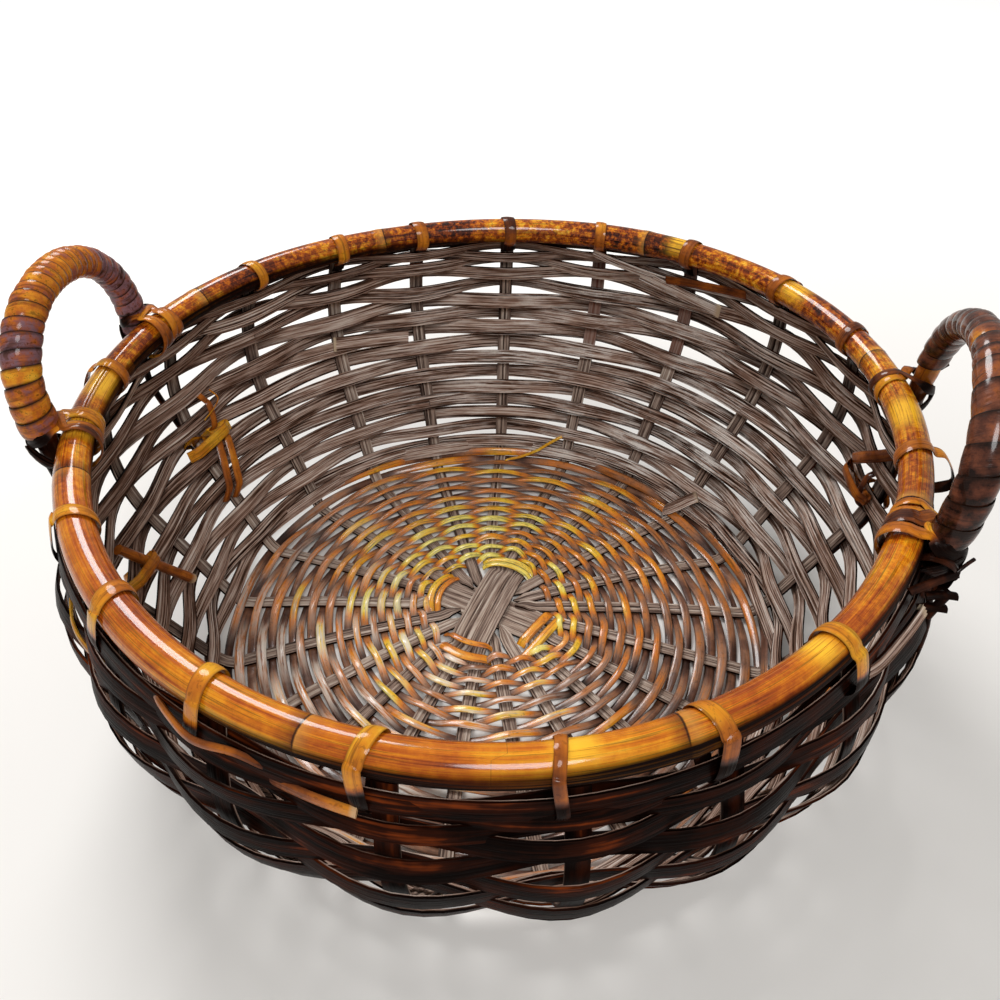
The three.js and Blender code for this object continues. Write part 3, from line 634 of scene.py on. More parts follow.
# A weaver passes outside one stake and inside the next. An odd number of stakes makes each row the opposite
# of the last. The angle keeps its turns, as stakes are counted on without starting again.
def weaverPath(numbers, distances, lifts):
    angles = stakeAngle(numbers, distances)
    last = len(numbers) - 1
    places = np.arange(last * weaveSteps + 1) / weaveSteps
    whole = np.minimum(places.astype(int), last - 1)
    part = places - whole
    eased = (1 - np.cos(math.pi * part)) / 2

    def between(values, share):
        return values[whole] + (values[whole + 1] - values[whole]) * share

    points, outwards = onBowl(between(distances, eased), between(angles, part), between(lifts, eased))
    return points, outwards, places, between


# narrows a strand over its last stakes, as a spliced end is shaved
def endTaper(places, reach=0.7, least=0.5):
    fromEnd = np.minimum(places, places[-1] - places)
    return np.clip(least + (1 - least) * fromEnd / reach, least, 1)


def neighbourBlend(values, share):
    padded = np.pad(values, 1, mode="edge")
    return (1 - 2 * share) * values + share * (padded[:-2] + padded[2:])


def bell(angles, degrees, reach):
    return np.exp(-(turnDistance(angles, degrees) / reach) ** 2)


wallWeave = {
    # turns counted at the back stake, with the height and the reed's width there
    "turns": [-0.5, 1, 3, 5, 7, 9, 11, 13, 15, 16.6],
    "heights": [0.0140, 0.0229, 0.0450, 0.0683, 0.0905, 0.1186, 0.1447, 0.1746, 0.1930, 0.2030],
    "widths": [0.0105, 0.0120, 0.0125, 0.0130, 0.0135, 0.0142, 0.0146, 0.0138, 0.0106, 0.0098],
    "splices": [-0.5, 4.05, 7.86, 12.14, 16.6],
    "spliceLift": [0.0022, 0.0011],  # a new reed starts on the last one's end
    "liftOut": 0.0054,
    "liftIn": 0.0074,
    "slack": ([0, 2, 13, 15.5], [0.65, 1, 1, 0.62]),
    "outsideWidth": 0.88,  # share of its width that a reed keeps where it passes outside
    "thickness": 0.0022,
    "ridges": 5,
    "grooveDepth": 0.21,
    "unevenness": (0.0011, 0.0024),  # usual and most
    "unevenShares": ([0, 1, 14.5, 15.5], [0.4, 1, 1, 0.4]),
    # painted sheen on the inner face: the direction where it is brightest, and its share by height
    "sheenDirection": 62.0,
    "sheenHeights": ([0.01, 0.04, 0.15, 0.19], [0.6, 1, 1, 0.4]),
    "paintedShadeAway": 0.03,  # painted shade: how much darker the reed is painted away from the painted sheen
}


def addWallWeavers(random_):
    look = wallWeave
    rowDistances = [distanceAtHeight(height) for height in look["heights"]]
    section = reedSection(1.0, look["thickness"], look["ridges"], look["grooveDepth"])
    usual, most = look["unevenness"]
    ends = [round(turn * bowl["stakeCount"]) for turn in look["splices"]]
    for index, (first, last) in enumerate(zip(ends, ends[1:])):
        numbers = np.arange(first - (index > 0), last + 1)
        turns = numbers / bowl["stakeCount"]
        count = len(numbers)
        jitter = np.clip(draw(count, random_.gauss, 0, usual), -most, most)
        jitter = jitter * np.interp(turns, *look["unevenShares"])
        distances = np.interp(turns, look["turns"], rowDistances) + jitter
        slack = np.interp(turns, *look["slack"]) * draw(count, random_.uniform, 0.88, 1.12)
        inside = numbers % 2 != 0
        lifts = np.where(inside, -look["liftIn"], look["liftOut"]) * slack
        if index:
            lifts[:2] += look["spliceLift"]
        points, outwards, places, between = weaverPath(numbers, distances, lifts)
        part = places % 1
        widths = np.interp(turns, look["turns"], look["widths"]) * np.where(inside, 1, look["outsideWidth"])
        widths = widths * draw(count, random_.uniform, 0.9, 1.06)
        tones = neighbourBlend(draw(count, random_.uniform, 0.2, 0.7), 0.22)
        twists = draw(count, random_.gauss, 0, 0.1)
        angles = stakeAngle(numbers, distances)
        # painted sheen round one direction, and painted shade on the reed away from it
        sheens = bell(angles, look["sheenDirection"], 0.85) * draw(count, random_.uniform, 0.5, 1.2)
        sheens = sheens * np.interp(heightAt(distances), *look["sheenHeights"])
        tones = tones - look["paintedShadeAway"] * (1 - bell(angles, look["sheenDirection"], 0.9))
        piece = makeStrand(f"wallWeaver{index + 1}", points, outwards, section,
                           widths=between(widths, part) * endTaper(places), twists=between(twists, part),
                           tone=between(tones, part), crown=between(inside * 1.0, part),
                           sheen=between(sheens, part), start=random_.uniform(0, 9))
        finishPiece(piece, wallReed, "dark_reed", f"wall_weaver_{index + 1}")


addWallWeavers(random.Random(11))
print("wall woven")

baseWeave = {
    "pitches": (0.0062, 0.0086),  # at the first and the last row
    "widths": (0.0054, 0.0074),
    "start": 0.0455,
    "end": 0.2135,
    # degrees round the base and metres by which the first rows stand out past each arm of the crossed stakes
    "arms": [(80.1, 0.0165), (251.5, 0.0125), (165.8, 0.0075), (337.2, 0.0165)],
    "armFade": 0.055,
    "armWidth": 0.4,
    "liftOut": 0.0028,
    "liftIn": 0.0040,
    "thickness": 0.0018,
    "unevenness": (0.0006, 0.0013),
    "phase": 4,
    # direction and spread of each tint, and of the painted glints
    "yellow": (118.0, 1.1),
    "grey": (-15.0, 0.8),
    "paintedGlint": (236.0, 1.25),
    "tone": 0.17,
    "crownTone": 0.28,  # added where a row passes inside
    "yellowTone": 0.46,
    "brights": [0.34, 0.14, -0.04, -0.16],
}


def addBaseWeavers(random_):
    look = baseWeave
    usual, most = look["unevenness"]

    def shareAt(distance):
        return (distance - look["start"]) / (look["end"] - look["start"])

    def grown(sizes, share):
        return sizes[0] + (sizes[1] - sizes[0]) * share

    steady = [look["start"]]
    while steady[-1] < look["end"]:
        steady.append(steady[-1] + grown(look["pitches"], shareAt(steady[-1])) / bowl["stakeCount"])
    split = len(steady) * 2 // 5
    for label, first, last in (("Inner", 0, split), ("Outer", split - 1, len(steady) - 1)):
        numbers = np.arange(first, last + 1) + look["phase"]
        evenly = np.array(steady[first:last + 1])
        count = len(numbers)
        share = shareAt(evenly)
        distances = evenly + np.clip(draw(count, random_.gauss, 0, usual), -most, most)
        angles = stakeAngle(numbers, distances)
        fade = np.exp(-(evenly - look["start"]) / look["armFade"])
        for degrees, push in look["arms"]:
            distances = distances + push * fade * bell(angles, degrees, look["armWidth"])
        inside = numbers % 2 != 0
        lifts = np.where(inside, -look["liftIn"], look["liftOut"]) * draw(count, random_.uniform, 0.9, 1.0)
        points, outwards, places, between = weaverPath(numbers, distances, lifts)
        part = places % 1
        # yellow near the middle, browner and greyer outwards
        yellow = bell(angles, *look["yellow"]) * (1.05 - share)
        bright = draw(count, random_.choice, look["brights"])
        grey = bell(angles, *look["grey"]) * np.clip(share * 1.6, 0, 1)
        crowned = inside * (1 - 0.5 * grey) * (1 - 0.5 * share)
        tones = look["tone"] - 0.04 * share - 0.02 * grey
        tones = tones + crowned * (look["crownTone"] + look["yellowTone"] * yellow + bright)
        # painted glints: highlights on the crowns towards the front left
        paintedGlints = inside * bell(angles, *look["paintedGlint"]) * draw(count, random_.uniform, 0.2, 1.1)
        tones = neighbourBlend(tones + draw(count, random_.gauss, 0, 0.05), 0.08)
        widths = grown(look["widths"], share) * draw(count, random_.uniform, 0.86, 1.12)
        soft = ease(np.clip((part - 0.5) * 1.7 + 0.5, 0, 1))
        piece = makeStrand(f"baseWeaver{label}", points, outwards, peelSection(1.0, look["thickness"]),
                           widths=between(widths, part) * endTaper(places, 1.6, 0.35),
                           twists=between(draw(count, random_.gauss, 0, 0.12), part),
                           tone=between(tones, soft), crown=between(inside * 1.0, soft),
                           sheen=between(paintedGlints, soft), start=random_.uniform(0, 9))
        finishPiece(piece, basePeel, "glossy_peel", f"base_weaver_{label.lower()}")


addBaseWeavers(random.Random(7))
print("base woven")


strap = {
    "steps": 5,
    "growth": 0.0011,  # each turn lies on the last one
    # how far a strip's darkening runs past its line, and the tone it reaches
    "darkeningRun": 0.005,
    "darkenedTone": 0.02,
    "toneSway": 0.07,
}


# A strip that goes round things at the rim. Each row says where it passes, as out, up and along from the
# middle of the hoop's cane, and which way it faces there. The tone darkens past a line, given as shares
# of out and up and how far that is from the hoop's middle; on the rim bindings this is painted shade.
def addStrap(name, degrees, rows, width, thickness, tone, stain=(0, 0, 1), seed=0, turns=1.12):
    angle = math.radians(degrees)
    steps = strap["steps"]
    path = smoothThrough(np.vstack([rows, rows[:4]]), steps)
    path = path[:int(len(rows) * steps * turns) + 1]
    kept = len(path)
    faces = unit(path[:, 3:])
    places = path[:, :3] + faces * (strap["growth"] * np.linspace(0, 1, kept))[:, None]
    points = atRim(angle + places[:, 2] / bowl["rimRadius"], places[:, 0], places[:, 1])
    out, up = outwardAt(np.full(kept, angle)), np.array([0, 0, 1.0])
    outwards = out * faces[:, :1] + up * faces[:, 1:2] + np.cross(up, out) * faces[:, 2:3]
    darkened = places[:, 0] * stain[0] + places[:, 1] * stain[1] - stain[2]
    darkened = np.clip(darkened / strap["darkeningRun"], 0, 1)
    tones = tone + strap["toneSway"] * np.sin(np.linspace(0, 9, kept) + seed)
    tones = tones + (strap["darkenedTone"] - tones) * darkened
    return makeStrand(name, points, outwards, peelSection(width, thickness), tone=tones, start=seed * 0.37)


def roundCane(first, last, count, gap, lean=0.0):
    reach = bowl["caneRadius"] + gap
    turns = np.radians(np.linspace(first, last, count))
    x, y = np.cos(turns), np.sin(turns)
    return np.stack([reach * x, reach * y, lean * x, x, y, 0 * x], 1).tolist()


bindings = {
    "width": 0.0092,
    "thickness": 0.0011,
    "gap": 0.0007,
    # painted shade: the lower ends under the hoop darken past this line, given as shares of out and up and
    # how far below
    "stain": (0.5, -1, 0.0115),
    # one for each stake that has no handle leg
    "angles": [96.8, 114.5, 130.4, 148.1, 183.3, 215.5, 230.8, 247.4, 265.0, 282.6, 297.9, 316.3,
               355.8, 386.4, 403.3, 421.8, 439.1],
    "tones": [0.30, 0.42, 0.5, 0.55, 0.5, 0.55, 0.62, 0.66, 0.64, 0.42, 0.5, 0.66, 0.62, 0.34,
              0.4, 0.38, 0.48],
    "narrow": {9: 0.68},
    "bulges": {4: 0.005, 12: 0.010, 14: 0.007, 11: 0.003},  # how far some stand off outside
    # the way under and outside the hoop: out, up, the shares of bulge and lean, and the way it faces
    "way": [(0.0010, -0.0125, 0, -1, 0.2, -1), (0.0078, -0.0205, 0, -1, 0.1, -1),
            (0.0132, -0.0202, 0, 0, 0.7, -0.7), (0.0140, -0.0140, 1, 0, 1, 0),
            (0.0126, -0.0060, 1, 0.5, 1, 0.2), (0.0105, 0.0032, 0.5, 1, 0.9, 0.4)],
}


def addBindings(random_):
    look = bindings
    for index, degrees in enumerate(look["angles"]):
        bulge = look["bulges"].get(index, random_.uniform(0, 0.0015))
        lean = random_.uniform(-0.0035, 0.0035)
        rows = [(out + bulge * bulgeShare, up, lean * leanShare, *face, 0)
                for out, up, bulgeShare, leanShare, *face in look["way"]]
        rows += roundCane(28, 238, 12, look["gap"], lean)
        width = look["width"] * random_.uniform(0.86, 1.08) * look["narrow"].get(index, 1)
        piece = addStrap(f"rimBinding{index + 1:02d}", degrees, rows, width, look["thickness"],
                         look["tones"][index], look["stain"], seed=index)
        finishPiece(piece, bindingPeel, "varnished_cane", f"rim_binding_{index + 1:02d}")


addBindings(random.Random(5))
print("rim bound")

# Border weaver outside the stakes' tops
border = {
    "out": 0.0118,
    "up": -0.0135,
    "width": 0.0112,
    "thickness": 0.0022,
    "splice": 131.5,
    "spliceGap": 0.004,
    "sway": 0.0009,
}


def addBorder(random_):
    count = bowl["stakeCount"]
    turns = np.linspace(0, 1, count * 8 + 1)
    gap = border["spliceGap"]
    angles = math.radians(border["splice"]) + gap + turns * 2 * (math.pi - gap)
    sway = draw(2 * count + 1, random_.gauss, 0, border["sway"])
    sway[-1] = sway[0]
    drift = np.interp(turns * 2 * count, np.arange(2 * count + 1), sway)
    points = atRim(angles, border["out"] + 0.4 * drift, border["up"] + drift)
    section = reedSection(border["width"], border["thickness"])
    piece = makeStrand("borderWeaver", points, outwardAt(angles, 0.98, 0.2), section,
                       tone=0.35 + 0.1 * np.sin(7 * angles))
    finishPiece(piece, wallReed, "dark_reed", "border_weaver")


addBorder(random.Random(3))
print("border made")

# The bent cane hoop
hoop = {
    "knots": [-100.9, -65.0, 70.5, 122.0, -165.1, -152.7, 20.0, -15.5, 160.0],
    "knotSwell": 0.06,
    "knotLength": 0.0032,
    "lineOffset": 0.0018,  # from a knot's middle to the dark line beside it
    "worn": [(-172.4, 3.2), (-161.9, 2.4), (-76.0, 2.2), (4.0, 3.5), (64.0, 2.0), (40.0, 2.5), (-47.0, 2.2)],
    "wornLength": 0.004,
    # direction of the light that the painted shade on the cane turns away from
    "paintedLightDirection": 140.0,
    "majorSegments": 256,
    "minorSegments": 20,
    # degrees round the rim, with the colour's place along the ramp and the share of speckled skin there
    "directions": [-180, -165, -140, -100, -70, -45, -20, 10, 40, 70, 100, 120, 150, 180],
    "tones": [0.54, 0.54, 0.52, 0.56, 0.56, 0.53, 0.50, 0.64, 0.52, 0.46, 0.50, 0.52, 0.50, 0.52],
    "speckles": [0.5, 0.4, 0.15, 0.1, 0.1, 0.15, 0.35, 0.5, 0.7, 0.75, 0.75, 0.7, 0.6, 0.5],
}


def addHoop():
    rim, cane = bowl["rimRadius"], bowl["caneRadius"]
    bpy.ops.object.select_all(action="DESELECT")
    bpy.ops.mesh.primitive_torus_add(
        major_segments=hoop["majorSegments"], minor_segments=hoop["minorSegments"], major_radius=rim,
        minor_radius=cane, generate_uvs=True, location=(0, 0, 0))
    piece = bpy.context.object
    piece.name = piece.data.name = "rimHoop"
    mesh = piece.data
    places = np.zeros(len(mesh.vertices) * 3)
    mesh.vertices.foreach_get("co", places)
    x, y, z = places.reshape(-1, 3).T
    angles = np.arctan2(y, x)
    tube = np.arctan2(z, np.hypot(x, y) - rim)
    gaps = [turnDistance(angles, degrees) * rim + 0.0006 * np.sin(2 * tube) for degrees in hoop["knots"]]
    nearest = np.argmin(np.abs(gaps), axis=0)
    knotGap = np.array(gaps)[nearest, np.arange(len(angles))]
    knot = np.exp(-(knotGap / hoop["knotLength"]) ** 2)
    line = np.exp(-((knotGap + hoop["lineOffset"]) / 0.001) ** 2)
    worn = np.zeros(len(angles))
    side = np.abs((tube - 2.0 + math.pi) % (2 * math.pi) - math.pi) / 1.1
    for degrees, size in hoop["worn"]:
        gap = turnDistance(angles, degrees) * rim / (size * hoop["wornLength"])
        worn += np.exp(-gap ** 4 - side ** 4)
    thick = 1 + hoop["knotSwell"] * knot - 0.035 * line
    reach = cane * (thick + 0.02 * np.sin(5 * angles + 1) + 0.015 * np.sin(11 * angles))
    mesh.vertices.foreach_set("co", atRim(angles, reach * np.cos(tube), reach * np.sin(tube)).ravel())
    strandMap = mesh.uv_layers[0]
    strandMap.name = "strand"
    maps = np.zeros(len(mesh.loops) * 2)
    strandMap.data.foreach_get("uv", maps)
    maps = maps.reshape(-1, 2)[:, ::-1] * [2 * math.pi * cane, 2 * math.pi * rim]
    strandMap.data.foreach_set("uv", maps.ravel())
    degrees = np.degrees(angles)
    # painted shade: pale is how far the cane faces the light from the back left and above, and the cane is
    # darkened where it faces away
    pale = np.cos(tube) * np.cos(angles - math.radians(hoop["paintedLightDirection"])) * 0.7 + np.sin(tube) * 0.72
    darkened = 0.06 + 0.2 * np.maximum(np.cos(angles + 1.0), 0) - 0.6 * np.maximum(np.sin(angles), 0)
    for name, values in {
        "knot": knot,
        "knotGap": knotGap,
        "worn": worn,
        "tone": np.interp(degrees, hoop["directions"], hoop["tones"]) + 0.05 * np.sin(9 * angles),
        "speckle": np.interp(degrees, hoop["directions"], hoop["speckles"]),
        "under": np.clip((darkened - pale) / 0.42, 0, 1),
    }.items():
        addMark(mesh, name, values)
    softenEdges(piece)
    return piece


hoopLook = {
    "ramp": [(0.05, "#160a07"), (0.18, "#3c170c"), (0.32, "#74300f"), (0.45, "#a84d12"), (0.58, "#cf7414"),
             (0.72, "#e8981d"), (0.9, "#f6bd3a")],
    "worn": "#ffc232",
    "pale": "#d39a4a",
    "dark": "#140805",
}


def makeCane(name, look):
    material, tree, shader = startMaterial(name)
    fibres = useFibres(tree, 1150.0, 11.0)
    stain = useStain(tree, 18.0, 360.0)
    wide = useStain(tree, 7.0, 190.0)
    fine = fibres["Fine"]
    speckle, knotGap, under, worn = [mark(tree, key) for key in ("speckle", "knotGap", "under", "worn")]
    value = vary(mark(tree, "tone"), fibres["Broad"], 0.55)
    value = vary(vary(value, stain["Patches"], 0.22), fine, 0.6)
    value = timesPlus(times(calc("SUBTRACT", wide["Specks"], 0.45), speckle), 0.62, value)
    base = ramp(value, look["ramp"])
    burnt = times(times(spread(stain["Specks"], 0.5, 0.75), speckle), 0.7)
    base = paint(burnt, base, look["dark"])
    base = paint(times(spread(fine, 0.55, 0.63), 0.6), base, look["dark"])
    # a knot is pale on one side of its dark line and burnt on the other
    paleKnot = times(mark(tree, "knot"), spread(knotGap, -0.002, -0.001, 0.0, 0.6))
    base = paint(paleKnot, base, look["pale"])
    burntKnot = times(spread(knotGap, -0.011, -0.002), spread(knotGap, -0.002, -0.001, 0.6, 0.0))
    base = paint(burntKnot, base, look["dark"])
    base = paint(times(worn, spread(fine, 0.48, 0.62, 1.0, 0.2)), base, look["worn"])
    # painted shade on the cane's lower side, led by the under mark
    shade = spread(vary(under, fibres["Broad"], 0.9), 0.3, 1.0)
    fromLine = calc("ABSOLUTE", calc("ADD", knotGap, hoop["lineOffset"]))
    line = spread(fromLine, 0.0002, 0.0008, 0.85, 0.0)
    rough = spread(fine, 0.3, 0.7, 0.2, 0.38)
    setInputs(shader, {
        "Base Color": paint(calc("MAXIMUM", line, shade), base, look["dark"]),
        "Roughness": timesPlus(calc("ADD", worn, under), 0.25, rough),
        "Coat Weight": spread(under, 0.1, 0.7, 0.8, 0.0),
        "Coat Roughness": 0.1,
        "Specular IOR Level": 0.03,
        "Normal": bump(timesPlus(fibres["Groove"], 0.6, fine), 0.0004),
    })
    return material


finishPiece(addHoop(), makeCane("varnishedCane", hoopLook), "varnished_cane", "rim_hoop")
print("hoop made")

# Handles: a bent cane core whose legs run down outside the wall, wound with peel above the rim
handles = {
    "left": {
        "legs": [169.6, 197.6],
        "feet": [4, 6],
        "rise": 0.0688,
        "lean": 0.0066,
        "power": 0.89,
        "turns": 29,
        "starts": [-0.002, 0.010],  # above the hoop's middle, at the back leg and the front leg
        "reaches": [0.0083, 0.0098],
        "lap": 0.17,
        "endSwell": 0.0005,
        # each stretch of turns with its share of an even turn's width
        "spans": [(0, 5, 1.2), (5, 21, 0.88), (21, 28, 1.25), (28, 29, 1.45)],
        "tones": [(0, 0.19), (6, 0.17), (8, 0.22), (11, 0.36), (13, 0.48), (20, 0.52), (21.1, 0.5),
                  (21.3, 0.6), (21.9, 0.56), (22.2, 0.32), (23, 0.25), (24.8, 0.23), (25.2, 0.6),
                  (25.9, 0.56), (26.3, 0.42), (27.9, 0.42), (28.2, 0.32), (29, 0.3)],
        "coreTone": 0.42,
        "finish": wrapPeel,
    },
    "right": {
        "legs": [12.6, -20.8],
        "feet": [16, 14],
        "rise": 0.0750,
        "lean": 0.0045,
        "power": 0.83,
        "turns": 19,
        "starts": [0.020, 0.004],
        "reaches": [0.0080, 0.0096],
        "lap": 0.1,
        "endSwell": 0.0,
        "spans": [(0, 9, 1), (9, 10, 1.2), (10, 12, 1), (12, 16, 1.55), (16, 19, 1.3)],
        "tones": [(0, 0.24), (4, 0.2), (8, 0.22), (9.3, 0.28), (9.42, 0.56), (9.54, 0.3), (11, 0.26),
                  (11.9, 0.4), (12.4, 0.3), (12.6, 0.56), (12.8, 0.3), (15, 0.24), (17, 0.2), (19, 0.16)],
        "coreTone": 0.5,
        "finish": darkWrapPeel,
    },
    "coreRadius": 0.0068,
    "legOut": 0.0185,
    "legGap": 0.0050,  # from the middle of the stakes to the leg's side
    "legFoot": 0.066,
    # how much of its thickness a leg keeps, as it is shaved down to hide along a stake
    "legHeights": [0.066, 0.15, 0.183, 0.203],
    "legShares": [0.36, 0.4, 0.46, 0.9],
    "legFlat": 0.6,  # and how flat it is split there
    "legTone": 0.06,  # darker below the rim
    "spring": 0.012,
    "straightUntil": 0.105,
    "swerve": 0.09,
    "wrapThickness": 0.0016,
    "wrapWidth": 1.2,  # against the distance from turn to turn
    "wrapSteps": 22,
    "archSteps": 300,
}


def legPath(rimDegrees, stake):
    distances = np.linspace(distanceAtHeight(handles["legFoot"]), rimDistance - 0.004, 24)
    heights = heightAt(distances)
    footAngle = float(stakeAngle(stake, distances[0]))
    rimAngle = math.radians(rimDegrees)
    footAngle += 2 * math.pi * round((rimAngle - footAngle) / (2 * math.pi))
    share = ease(np.clip((heights - handles["straightUntil"]) / handles["swerve"], 0, 1))
    wide = np.interp(heights, handles["legHeights"], handles["legShares"])
    thick = wide * np.interp(heights, handles["legHeights"][2:], [handles["legFlat"], 1])
    raised = handles["legGap"] + handles["coreRadius"] * thick
    return *onBowl(distances, footAngle + (rimAngle - footAngle) * share, raised), wide, thick


def archPoints(look, count):
    springs = [atRim(math.radians(degrees), handles["legOut"], handles["spring"]) for degrees in look["legs"]]
    centre = (springs[0] + springs[1]) / 2
    toward = springs[0] - centre
    outward = unit(np.array([toward[1], -toward[0], 0]))
    if np.dot(outward, centre) < 0:
        outward = -outward
    rise = np.array([0, 0, look["rise"] - handles["spring"]])
    turns = np.linspace(0, math.pi, count)[:, None]
    lift = np.sin(turns) ** look["power"]
    return centre + np.cos(turns) * toward + lift * (rise + outward * look["lean"]), outward


def addHandleCore(side):
    look = handles[side]
    back, front = [legPath(degrees, stake) for degrees, stake in zip(look["legs"], look["feet"])]
    arch, outward = archPoints(look, 41)
    full = np.ones(len(arch))
    over = (arch, np.tile(outward, (len(arch), 1)), full, full)
    points, outwards, wide, thick = [np.concatenate([a, b, c[::-1]]) for a, b, c in zip(back, over, front)]
    tones = np.interp(points[:, 2], [bowl["rimHeight"] - 0.012, bowl["rimHeight"] + 0.006],
                      [handles["legTone"], look["coreTone"]])
    section = roundSection(handles["coreRadius"], 16)
    piece = makeStrand(f"handleCore{side.capitalize()}", points, outwards, section, widths=wide, thicks=thick,
                       tone=tones, start=1.3)
    finishPiece(piece, bindingPeel, "varnished_cane", f"handle_core_{side}")


def addHandleWrap(side, random_):
    look = handles[side]
    count, steps, archSteps = look["turns"], handles["wrapSteps"], handles["archSteps"]
    arch, outward = archPoints(look, archSteps)
    ends = [atRim(math.radians(degrees), handles["legOut"], start)
            for degrees, start in zip(look["legs"], look["starts"])]
    kept = arch[(arch[:, 2] > ends[0][2]) | (np.arange(archSteps) > archSteps // 2)]
    kept = kept[(kept[:, 2] > ends[1][2]) | (np.arange(len(kept)) < len(kept) - archSteps // 2)]
    line = np.vstack([ends[0], kept, ends[1]])
    lengths = runningLength(line)
    weights = np.concatenate([np.full(last - first, share) for first, last, share in look["spans"]])
    weights = weights * draw(count, random_.uniform, 0.88, 1.12)
    edges = np.concatenate([[0], np.cumsum(weights)]) / weights.sum() * lengths[-1]
    turns = np.arange(count * steps + 1) / steps
    whole = np.arange(count + 1)
    places = np.interp(turns, whole, edges)
    centres = np.stack([np.interp(places, lengths, column) for column in line.T], 1)
    along = unit(np.gradient(centres, axis=0))
    outs = unit(outward - along * (along @ outward)[:, None])
    pitch = np.interp(turns, whole[:-1] + 0.5, np.diff(edges))
    bumps = np.interp(turns, whole, draw(count + 1, random_.uniform, -0.0003, 0.0005))
    bumps = bumps + np.interp(turns, [count - 2, count - 1], [0, look["endSwell"]])
    reach = np.interp(turns, [0, count], look["reaches"]) + bumps
    spin = 2 * math.pi * turns[:, None]
    away = outs * np.cos(spin) + np.cross(along, outs) * np.sin(spin)
    # each turn lies partly over the last one
    laps = np.interp(turns, [count - 4, count - 2], [look["lap"], 0.05])
    tones = np.interp(turns, *zip(*look["tones"]))
    tones = tones + np.interp(turns, whole, draw(count + 1, random_.uniform, -0.06, 0.06))
    piece = makeStrand(f"handleWrap{side.capitalize()}", centres + away * reach[:, None],
                       unit(away + along * laps[:, None]), peelSection(1.0, handles["wrapThickness"]),
                       widths=pitch * handles["wrapWidth"], tone=tones)
    finishPiece(piece, look["finish"], "red_peel", f"handle_wrap_{side}")


handleRandom = random.Random(21)
for side in ("left", "right"):
    addHandleCore(side)
    addHandleWrap(side, handleRandom)
print("handles made")

# Lashings: strips that cross over a handle leg outside and fan out over the cane inside. Each strip has its
# offset along the rim inside, its width, tone and the side of the leg that it starts from.
lashings = {
    "left_back": {"angle": 169.6, "fan": [(-0.010, 0.0065, 0.50, 1), (-0.003, 0.0065, 0.56, -1),
                                          (0.0045, 0.006, 0.42, 1), (0.011, 0.005, 0.5, -1)]},
    "left_front": {"angle": 197.6, "fan": [(-0.013, 0.006, 0.60, 1), (-0.006, 0.0085, 0.60, -1),
                                           (0.003, 0.007, 0.55, 1), (0.010, 0.0055, 0.40, -1)]},
    "right_back": {"angle": 12.6, "fan": [(-0.004, 0.0065, 0.62, 1), (0.004, 0.006, 0.28, -1)]},
    "right_front": {
        "angle": -20.8,
        "fan": [(0.015, 0.0055, 0.62, 1), (0.009, 0.0055, 0.6, -1), (-0.001, 0.0105, 0.30, 1),
                (-0.010, 0.0088, 0.58, -1)],
        # dark loops outside: out, up and along to the middle, reach out and up, lean, width
        "loops": [(0.0185, -0.003, 0.003, 0.0096, 0.0088, 0.006, 0.0100),
                  (0.0185, -0.010, -0.003, 0.0096, 0.0110, -0.007, 0.0105),
                  (0.0188, -0.018, 0.004, 0.0096, 0.0115, 0.005, 0.0100)],
        # cut ends of dark peel: degrees, out and up at both ends, width, thickness, tone
        "ends": [(339.6, 0.0185, 0.006, 338.2, 0.0165, -0.031, 0.0130, 0.0110, 0.05),
                 (331.8, 0.0110, -0.009, 336.6, 0.0280, -0.0045, 0.0046, 0.0024, 0.12),
                 (333.8, 0.0190, -0.015, 335.6, 0.0322, -0.0145, 0.0054, 0.0030, 0.03),
                 (332.8, 0.0180, -0.021, 334.6, 0.0300, -0.0210, 0.0056, 0.0032, 0.02),
                 (333.2, 0.0235, -0.026, 335.4, 0.0285, -0.0120, 0.0050, 0.0030, 0.04),
                 (336.6, 0.0265, -0.007, 339.2, 0.0335, -0.0010, 0.0020, 0.0012, 0.20)],
    },
}
lashingMake = {
    # the strips darken outside, past 9 mm out from the hoop's middle
    "stain": (1, 0, 0.009),
    "gap": 0.0008,
    "gapStep": 0.0009,  # each strip lies on the last
    "thickness": 0.0013,
    "slant": 0.0015,
    "loopThickness": 0.0018,
    "loopTone": 0.08,
}


def joinPieces(pieces, name):
    bpy.ops.object.select_all(action="DESELECT")
    for piece in pieces:
        piece.select_set(True)
    bpy.context.view_layer.objects.active = pieces[0]
    bpy.ops.object.join()
    pieces[0].name = pieces[0].data.name = name
    return pieces[0]


def inCapitals(place):
    return "".join(word.capitalize() for word in place.split("_"))


def lashingRows(offset, side, gap):
    out = handles["legOut"]
    leg = handles["coreRadius"] + gap
    beside = side * (leg + 0.001)
    slant = lashingMake["slant"] * side / bowl["caneRadius"]
    rows = [(out * 0.55, -0.0115, -beside * 0.8, 0, -1, 0), (out, -0.0085, -beside, 0.1, -0.3, -side),
            (out + leg, -0.0010, 0, 1, 0, 0),
            (out, 0.0065, beside, 0.1, 0.3, side), (out * 0.55, 0.0108, beside * 0.8, 0, 1, 0)]
    return rows + [(x, y, offset + slant * y, *faces) for x, y, _, *faces in roundCane(75, 285, 11, gap)]


def loopRows(out, up, along, reachOut, reachUp, lean):
    turns = np.linspace(0, 2 * math.pi, 10, endpoint=False)
    x, y = np.cos(turns), np.sin(turns)
    return np.stack([out + reachOut * x, up + reachUp * y, along + lean * y, x, y, 0 * x], 1)


